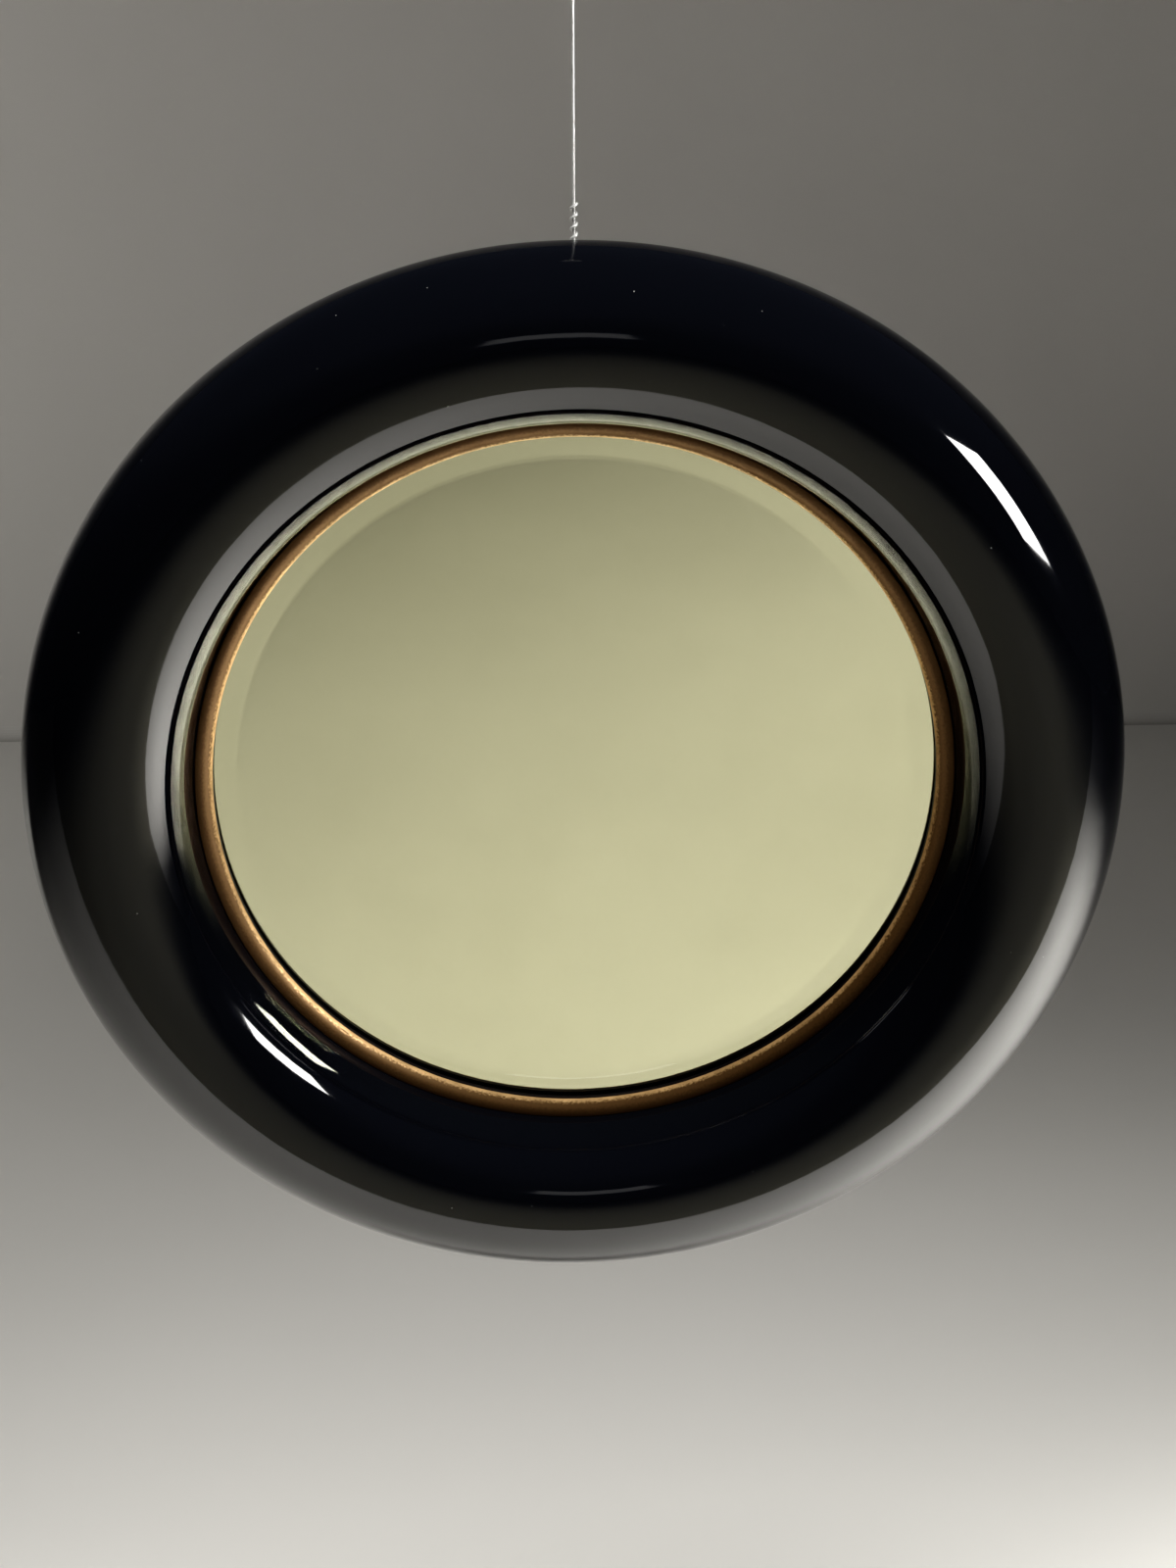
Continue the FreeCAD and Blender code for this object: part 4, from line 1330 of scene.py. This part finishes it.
@dataclass(frozen=True)
class ClosedBack:
    """Back board, felt, cork wedges and turn buttons with their screws. Lengths in millimetres."""

    board_radius: float = 213.5
    board_thickness: float = 6.0
    board_edge: float = 0.4
    felt_thickness: float = 1.1
    felt_rings: int = 24
    pivot_radius: float = 227.0
    button_count: int = 6
    button_reach: float = 22.0
    button_eye: float = 6.5
    button_tip: float = 4.0
    button_thickness: float = 1.6
    button_edge: float = 0.35
    button_gap: float = 0.3
    button_hole: float = 1.7
    segments: int = 256
    edge_step: float = math.radians(30)
    screw_seed: int = 11

    def build(self, shop: Workshop) -> None:
        """Make every piece of the back."""
        self.board(shop)
        self.felt(shop)
        dress_node("glass_wedges", shop.finishes.cork)
        for number in range(self.button_count):
            self.button(shop, number)
        self.screws(shop)

    def board(self, shop: Workshop) -> None:
        """Plywood disc with eased edges."""
        board = shop.turned("plywood_back", Section((
            Corner(0, 0),
            Corner(self.board_radius - self.board_edge, 0, Bend.LEFT, self.board_edge),
            Corner(self.board_radius, self.board_edge),
            Corner(self.board_radius, self.board_thickness),
            Corner(0, self.board_thickness),
        ), closed=False, arc_step=self.edge_step), shop.finishes.plywood, self.segments)
        shop.hand_over(shop.on_mirror(board), Body.MIRROR.value, Slot.PLYWOOD, "backboard")

    def felt(self, shop: Workshop) -> None:
        """Felt disc between the board and the silver."""
        back = self.board_thickness
        front = back + self.felt_thickness
        radii = [self.board_radius * step / self.felt_rings for step in range(self.felt_rings + 1)]
        corners = [Corner(radius, back) for radius in radii] + [Corner(radius, front) for radius in radii[::-1]]
        sheet = shop.turned("felt_sheet", Section(tuple(corners), closed=False), shop.finishes.grey_felt,
                            self.segments)
        shop.hand_over(shop.on_mirror(sheet), Body.MIRROR.value, Slot.FELT, "backing_felt")

    def pivot(self, number: int, back: float) -> Vector:
        """Place of a button's screw, that far behind the ring's back."""
        return around(self.pivot_radius, math.pi - FULL_TURN * number / self.button_count, back)

    def button(self, shop: Workshop, number: int) -> None:
        """Teardrop plate that points at the board from its screw.

        Args:
            shop: The workshop.
            number: Place of the button, from 0.
        """
        turn = math.degrees(math.asin((self.button_eye - self.button_tip) / self.button_reach))
        eye = arc_points((0, 0), self.button_eye, 180 - turn, 360 + turn, 36)
        tip = arc_points((0, self.button_reach), self.button_tip, turn, 180 - turn, 20)
        hole = arc_points((0, 0), self.button_hole, 360, 15, 23)
        plate = shop.plate(f"button_{number + 1}", [eye + tip, hole], self.button_thickness, self.button_edge,
                           shop.finishes.brass)
        spot = self.pivot(number, self.button_gap + self.button_thickness / 2)
        flat = Matrix.Rotation(math.pi / 2, 4, "X")
        inward = Matrix.Rotation(FULL_TURN * number / self.button_count + math.pi / 2, 4, "Y")
        shop.on_mirror(plate, Matrix.Translation(spot) @ inward @ flat)
        name = f"turn_button_{number + 1}"
        shop.hand_over(plate, name, Slot.BRASS, name)

    def screws(self, shop: Workshop) -> None:
        """One slotted screw through each button."""
        back = self.button_gap + self.button_thickness + self.button_gap
        spots = [self.pivot(number, back) for number in range(self.button_count)]
        template = SlottedScrew().template(shop, shop.finishes.zinc)
        screws = shop.copies("button_screws", template, spots, shop.finishes.zinc, self.screw_seed)
        shop.hand_over(shop.on_mirror(screws), Body.MIRROR.value, Slot.ZINC, "turn_button_screws")


@dataclass(frozen=True)
class StrapHanger:
    """Folded strap, its screws and the ring in its barrel. Lengths in millimetres."""

    height: float = 272.0
    thickness: float = 1.2
    width: float = 13.0
    bore: float = 1.55
    screw_first: float = 13.0
    screw_pitch: float = 17.0
    tail: float = 8.0
    edge: float = 0.25
    ring_wire: float = 1.5
    leg_clearance: float = 0.5
    ring_corner: float = 3.0
    ring_side: float = 2.0
    screw_seed: int = 5
    ring_sides: int = 6
    ring_sharp: float = math.radians(60)

    def build(self, shop: Workshop) -> None:
        """Make the strap, its screws and the ring."""
        self.strap(shop)
        self.screws(shop)
        self.ring(shop)

    def strap(self, shop: Workshop) -> None:
        """Strip folded round the ring's leg."""
        standoff = self.bore + self.thickness
        length = (self.screw_first + self.screw_pitch + self.tail) * MM
        fold = math.degrees(math.acos(self.bore / standoff))
        barrel = arc_points((standoff, 0), standoff, 180, fold - 180, 40)
        foot = [Vector((self.thickness * MM, -length)), Vector((0, -length))]
        bore = arc_points((standoff, 0), self.bore, 360, 12, 29)
        strap = shop.plate("strap_plate", [barrel + foot, bore], self.width, self.edge, shop.finishes.zinc)
        side = Matrix(((0, 0, 1, 0), (1, 0, 0, 0), (0, 1, 0, 0), (0, 0, 0, 1)))
        shop.on_mirror(strap, Matrix.Translation((0, 0, self.height * MM)) @ side)
        shop.hand_over(strap, Body.MIRROR.value, Slot.ZINC, "hanger_strap")

    def screws(self, shop: Workshop) -> None:
        """Two slotted screws through the strap."""
        drops = (self.screw_first, self.screw_first + self.screw_pitch)
        spots = [Vector((0, self.thickness, self.height - drop)) * MM for drop in drops]
        template = SlottedScrew().template(shop, shop.finishes.zinc)
        screws = shop.copies("strap_screws", template, spots, shop.finishes.zinc, self.screw_seed)
        shop.hand_over(shop.on_mirror(screws), Body.MIRROR.value, Slot.ZINC, "hanger_screws")

    def ring(self, shop: Workshop) -> None:
        """Ring of round wire: straight leg, tight corners and a half-round bow."""
        leg = self.width / 2 + self.leg_clearance
        right = arc_points((leg, self.ring_corner), self.ring_corner, -90, 0, 8)
        bow = arc_points((0, self.ring_corner + self.ring_side), leg + self.ring_corner, 0, 180, 36)
        left = arc_points((-leg, self.ring_corner), self.ring_corner, 180, 270, 8)
        curve = bpy.data.curves.new("wire_ring", "CURVE")
        curve.dimensions = "3D"
        curve.bevel_depth = self.ring_wire * MM
        curve.bevel_resolution = self.ring_sides
        path = [Vector((spot.x, 0, spot.y)) for spot in right + bow + left]
        shop.spline(curve, "POLY", path, closed=True)
        ring = shop.baked("wire_ring", linked("wire_ring_path", curve), shop.finishes.zinc, self.ring_sharp)
        ring.data.transform(Matrix.Translation(shop.place.hinge))
        shop.hand_over(ring, Body.LINE.value, Slot.ZINC, "hanger_ring")


@dataclass(frozen=True)
class WallBumpers:
    """Two felt pads low on the back. Lengths in millimetres."""

    place_radius: float = 252.0
    angles: tuple[float, float] = (225.0, 315.0)
    radius: float = 9.0
    thickness: float = 5.5
    edge: float = 1.5
    crown: float = 0.25
    crown_place: float = 0.5
    crown_share: float = 0.2
    segments: int = 48
    arc_step: float = math.radians(12)
    seed: int = 3

    def build(self, shop: Workshop) -> None:
        """Make both pads as one piece."""
        flat = self.radius - self.edge
        template = shop.turned("bumper_template", Section((
            Corner(0, -self.thickness),
            Corner(flat * self.crown_place, -self.thickness + self.crown * self.crown_share),
            Corner(flat, -self.thickness + self.crown, Bend.LEFT, self.edge),
            Corner(self.radius, -self.thickness + self.crown + self.edge),
            Corner(self.radius, 0),
            Corner(0, 0),
        ), closed=False, arc_step=self.arc_step), shop.finishes.dark_felt, self.segments)
        spots = [around(self.place_radius, math.radians(angle)) for angle in self.angles]
        pads = shop.copies("felt_bumpers", template, spots, shop.finishes.dark_felt, self.seed)
        shop.hand_over(shop.on_mirror(pads), Body.MIRROR.value, Slot.BUMPER, "wall_bumpers")


@dataclass(frozen=True)
class Tail:
    """Tail that leaves its loop's end and winds up (way 1) or down (-1) the wire. Millimetres and degrees."""

    name: str
    node: str
    start: float
    turns: float
    first_angle: float
    way: int
    lead: tuple[Place, ...]


@dataclass(frozen=True)
class HangingLine:
    """Wire with a loop at each end, its wound tails and the eye that it hangs from. Lengths in millimetres."""

    wire: float = 0.7
    tail: float = 0.62
    tail_coil: float = 1.42
    tail_pitch: float = 5.0
    tail_sharp: float = math.radians(50)
    lower_tail: Tail = Tail("lower_tail", "lower_splice", start=-157.75, turns=4.25, first_angle=-90.0, way=1,
                            lead=((0.0, -1.9, -161.53), (0.0, -1.75, -159.9)))
    upper_tail: Tail = Tail("upper_tail", "upper_splice", start=-10.95, turns=3.5, first_angle=180.0, way=-1,
                            lead=((-1.9, 0.0, -8.39), (-1.75, 0.0, -9.7)))
    bow_drop: float = 163.0
    bow_loop: float = 2.4
    bow_sweep: tuple[float, float] = (142.3, 398.0)
    eye_loop: float = 8.6
    eye_sweep: tuple[float, float] = (-58.0, 257.2)
    run: tuple[float, float] = (-159.92, -9.07)
    run_inset: float = 8.4
    loop_step: float = math.radians(30)
    loop_pull: float = 0.966
    wire_steps: int = 10
    wire_sides: int = 5
    eye_bore: float = 6.0
    eye_width: float = 5.0
    eye_ease: float = 0.4
    eye_step: float = math.radians(12)
    groove: float = 0.9
    groove_clearance: float = 0.2
    length: float = 215.0
    segments: int = 96

    def build(self, shop: Workshop) -> None:
        """Make the cord first, then what is on it."""
        cord = self.curve(shop, "hanging_cord", self.route(), self.wire)
        spine = self.spine(cord)
        lower = self.wound_tail(shop, self.lower_tail, spine)
        upper = self.wound_tail(shop, self.upper_tail, spine)
        eye = self.eye(shop)
        shop.hand_over(cord, Body.LINE.value, Slot.WIRE, "hanging_wire")
        self.route()[0]

    def loop(self, radius: float, start: float, end: float) -> list[tuple[float, float]]:
        """Control points of a loop about its own centre.

        Args:
            radius: The loop's radius.
            start: Angle of its first point, in degrees.
            end: Angle of its last point.

        Returns:
            The points in the loop's plane.
        """
        sweep = math.radians(end - start)
        steps = math.ceil(abs(sweep) / self.loop_step)
        angles = [math.radians(start) + sweep * step / steps for step in range(steps + 1)]
        reach = radius / self.loop_pull
        return [(reach * math.cos(angle), reach * math.sin(angle)) for angle in angles]

    def route(self) -> list[Vector]:
        """Control points from the lower loop's free end, up the straight run and round the eye, in metres."""
        low, high = self.run
        points = [Vector((0, y, z - self.bow_drop)) for y, z in self.loop(self.bow_loop, *self.bow_sweep)]
        points += [Vector((0, 0, z)) for z in (low, low + self.run_inset, high - self.run_inset, high)]
        points += [Vector((x, 0, z)) for x, z in self.loop(self.eye_loop, *self.eye_sweep)]
        return [point * MM for point in points]

    def curve(self, shop: Workshop, name: str, points: Sequence[Vector], radius: float) -> Item:
        """A smooth round wire through control points.

        Args:
            shop: The workshop.
            name: The piece's name.
            points: Control points in metres.
            radius: The wire's radius in millimetres.

        Returns:
            The curve.
        """
        curve = bpy.data.curves.new(name, "CURVE")
        curve.dimensions = "3D"
        curve.resolution_u = self.wire_steps
        spline = shop.spline(curve, "NURBS", points, closed=False)
        spline.order_u = 3
        spline.use_endpoint_u = True
        curve.bevel_depth = radius * MM
        curve.bevel_resolution = self.wire_sides
        curve.use_fill_caps = True
        curve.materials.append(shop.finishes.wire)
        return linked(name, curve)

    @staticmethod
    def spine(cord: Item) -> list[Vector]:
        """Points of the wire's own line, read from its spline."""
        bevel = cord.data.bevel_depth
        cord.data.bevel_depth = 0
        bpy.context.view_layer.update()
        graph = bpy.context.evaluated_depsgraph_get()
        line = bpy.data.meshes.new_from_object(cord.evaluated_get(graph))
        points = [vertex.co.copy() for vertex in line.vertices]
        cord.data.bevel_depth = bevel
        bpy.data.meshes.remove(line)
        return points

    @staticmethod
    def at_height(spine: Sequence[Vector], height: float) -> Vector:
        """Point of the straight run at a height.

        Args:
            spine: The wire's own line.
            height: The height in metres.

        Returns:
            The point.
        """
        for first, second in zip(spine, spine[1:]):
            if abs(first.x) + abs(first.y) + abs(second.x) + abs(second.y) > 1e-4:
                continue
            if first.z <= height <= second.z:
                return first.lerp(second, (height - first.z) / max(second.z - first.z, 1e-9))
        return Vector((0, 0, height))

    def wound_tail(self, shop: Workshop, tail: Tail, spine: Sequence[Vector]) -> Item:
        """Wind a tail along the run.

        Args:
            shop: The workshop.
            tail: The tail.
            spine: The wire's own line.

        Returns:
            The piece.
        """
        points = [Vector(spot) * MM for spot in tail.lead]
        steps = math.ceil(tail.turns * FULL_TURN / self.loop_step)
        coil = self.tail_coil / self.loop_pull * MM
        for step in range(steps + 1):
            share = tail.turns * step / steps
            angle = math.radians(tail.first_angle) + tail.way * share * FULL_TURN
            middle = self.at_height(spine, (tail.start + tail.way * share * self.tail_pitch) * MM)
            points.append(middle + Vector((math.cos(angle), math.sin(angle), 0)) * coil)
        path = self.curve(shop, f"{tail.name}_path", points, self.tail)
        piece = shop.baked(tail.name, path, shop.finishes.wire, self.tail_sharp)
        return shop.hand_over(piece, Body.LINE.value, Slot.WIRE, tail.node)

    def eye(self, shop: Workshop) -> Item:
        """Eye with a bore and a half-round groove for the loop."""
        rim = self.eye_loop - self.groove_clearance
        half = self.eye_width / 2
        groove = math.sqrt(self.groove ** 2 - self.groove_clearance ** 2)
        ease = self.eye_ease
        eye = shop.turned("grooved_eye", Section((
            Corner(self.eye_bore, -half + ease, Bend.LEFT, ease),
            Corner(self.eye_bore + ease, -half),
            Corner(rim - ease, -half, Bend.LEFT, ease),
            Corner(rim, -half + ease),
            Corner(rim, -groove, Bend.RIGHT, self.groove),
            Corner(rim, groove),
            Corner(rim, half - ease, Bend.LEFT, ease),
            Corner(rim - ease, half),
            Corner(self.eye_bore + ease, half, Bend.LEFT, ease),
            Corner(self.eye_bore, half - ease),
        ), arc_step=self.eye_step), shop.finishes.wire, self.segments)
        return shop.hand_over(eye, Body.LINE.value, Slot.WIRE, "hanging_thimble")


def main() -> None:
    """Build the scene."""
    logging.basicConfig(level=logging.INFO, format="%(name)s: %(message)s")
    place = HangingPlace.from_joints(frame["joints"])
    SharedEffects().build()
    ShapeTrees().build()
    shop = Workshop(place, Finishes(place))
    eye = PhotoCamera().build(place)
    for assembly in (HangingLine(), TurnedRing(), LookingGlass(), ClosedBack(), StrapHanger(), WallBumpers()):
        assembly.build(shop)
    Studio().build(eye)


if __name__ == "__main__":
    main()
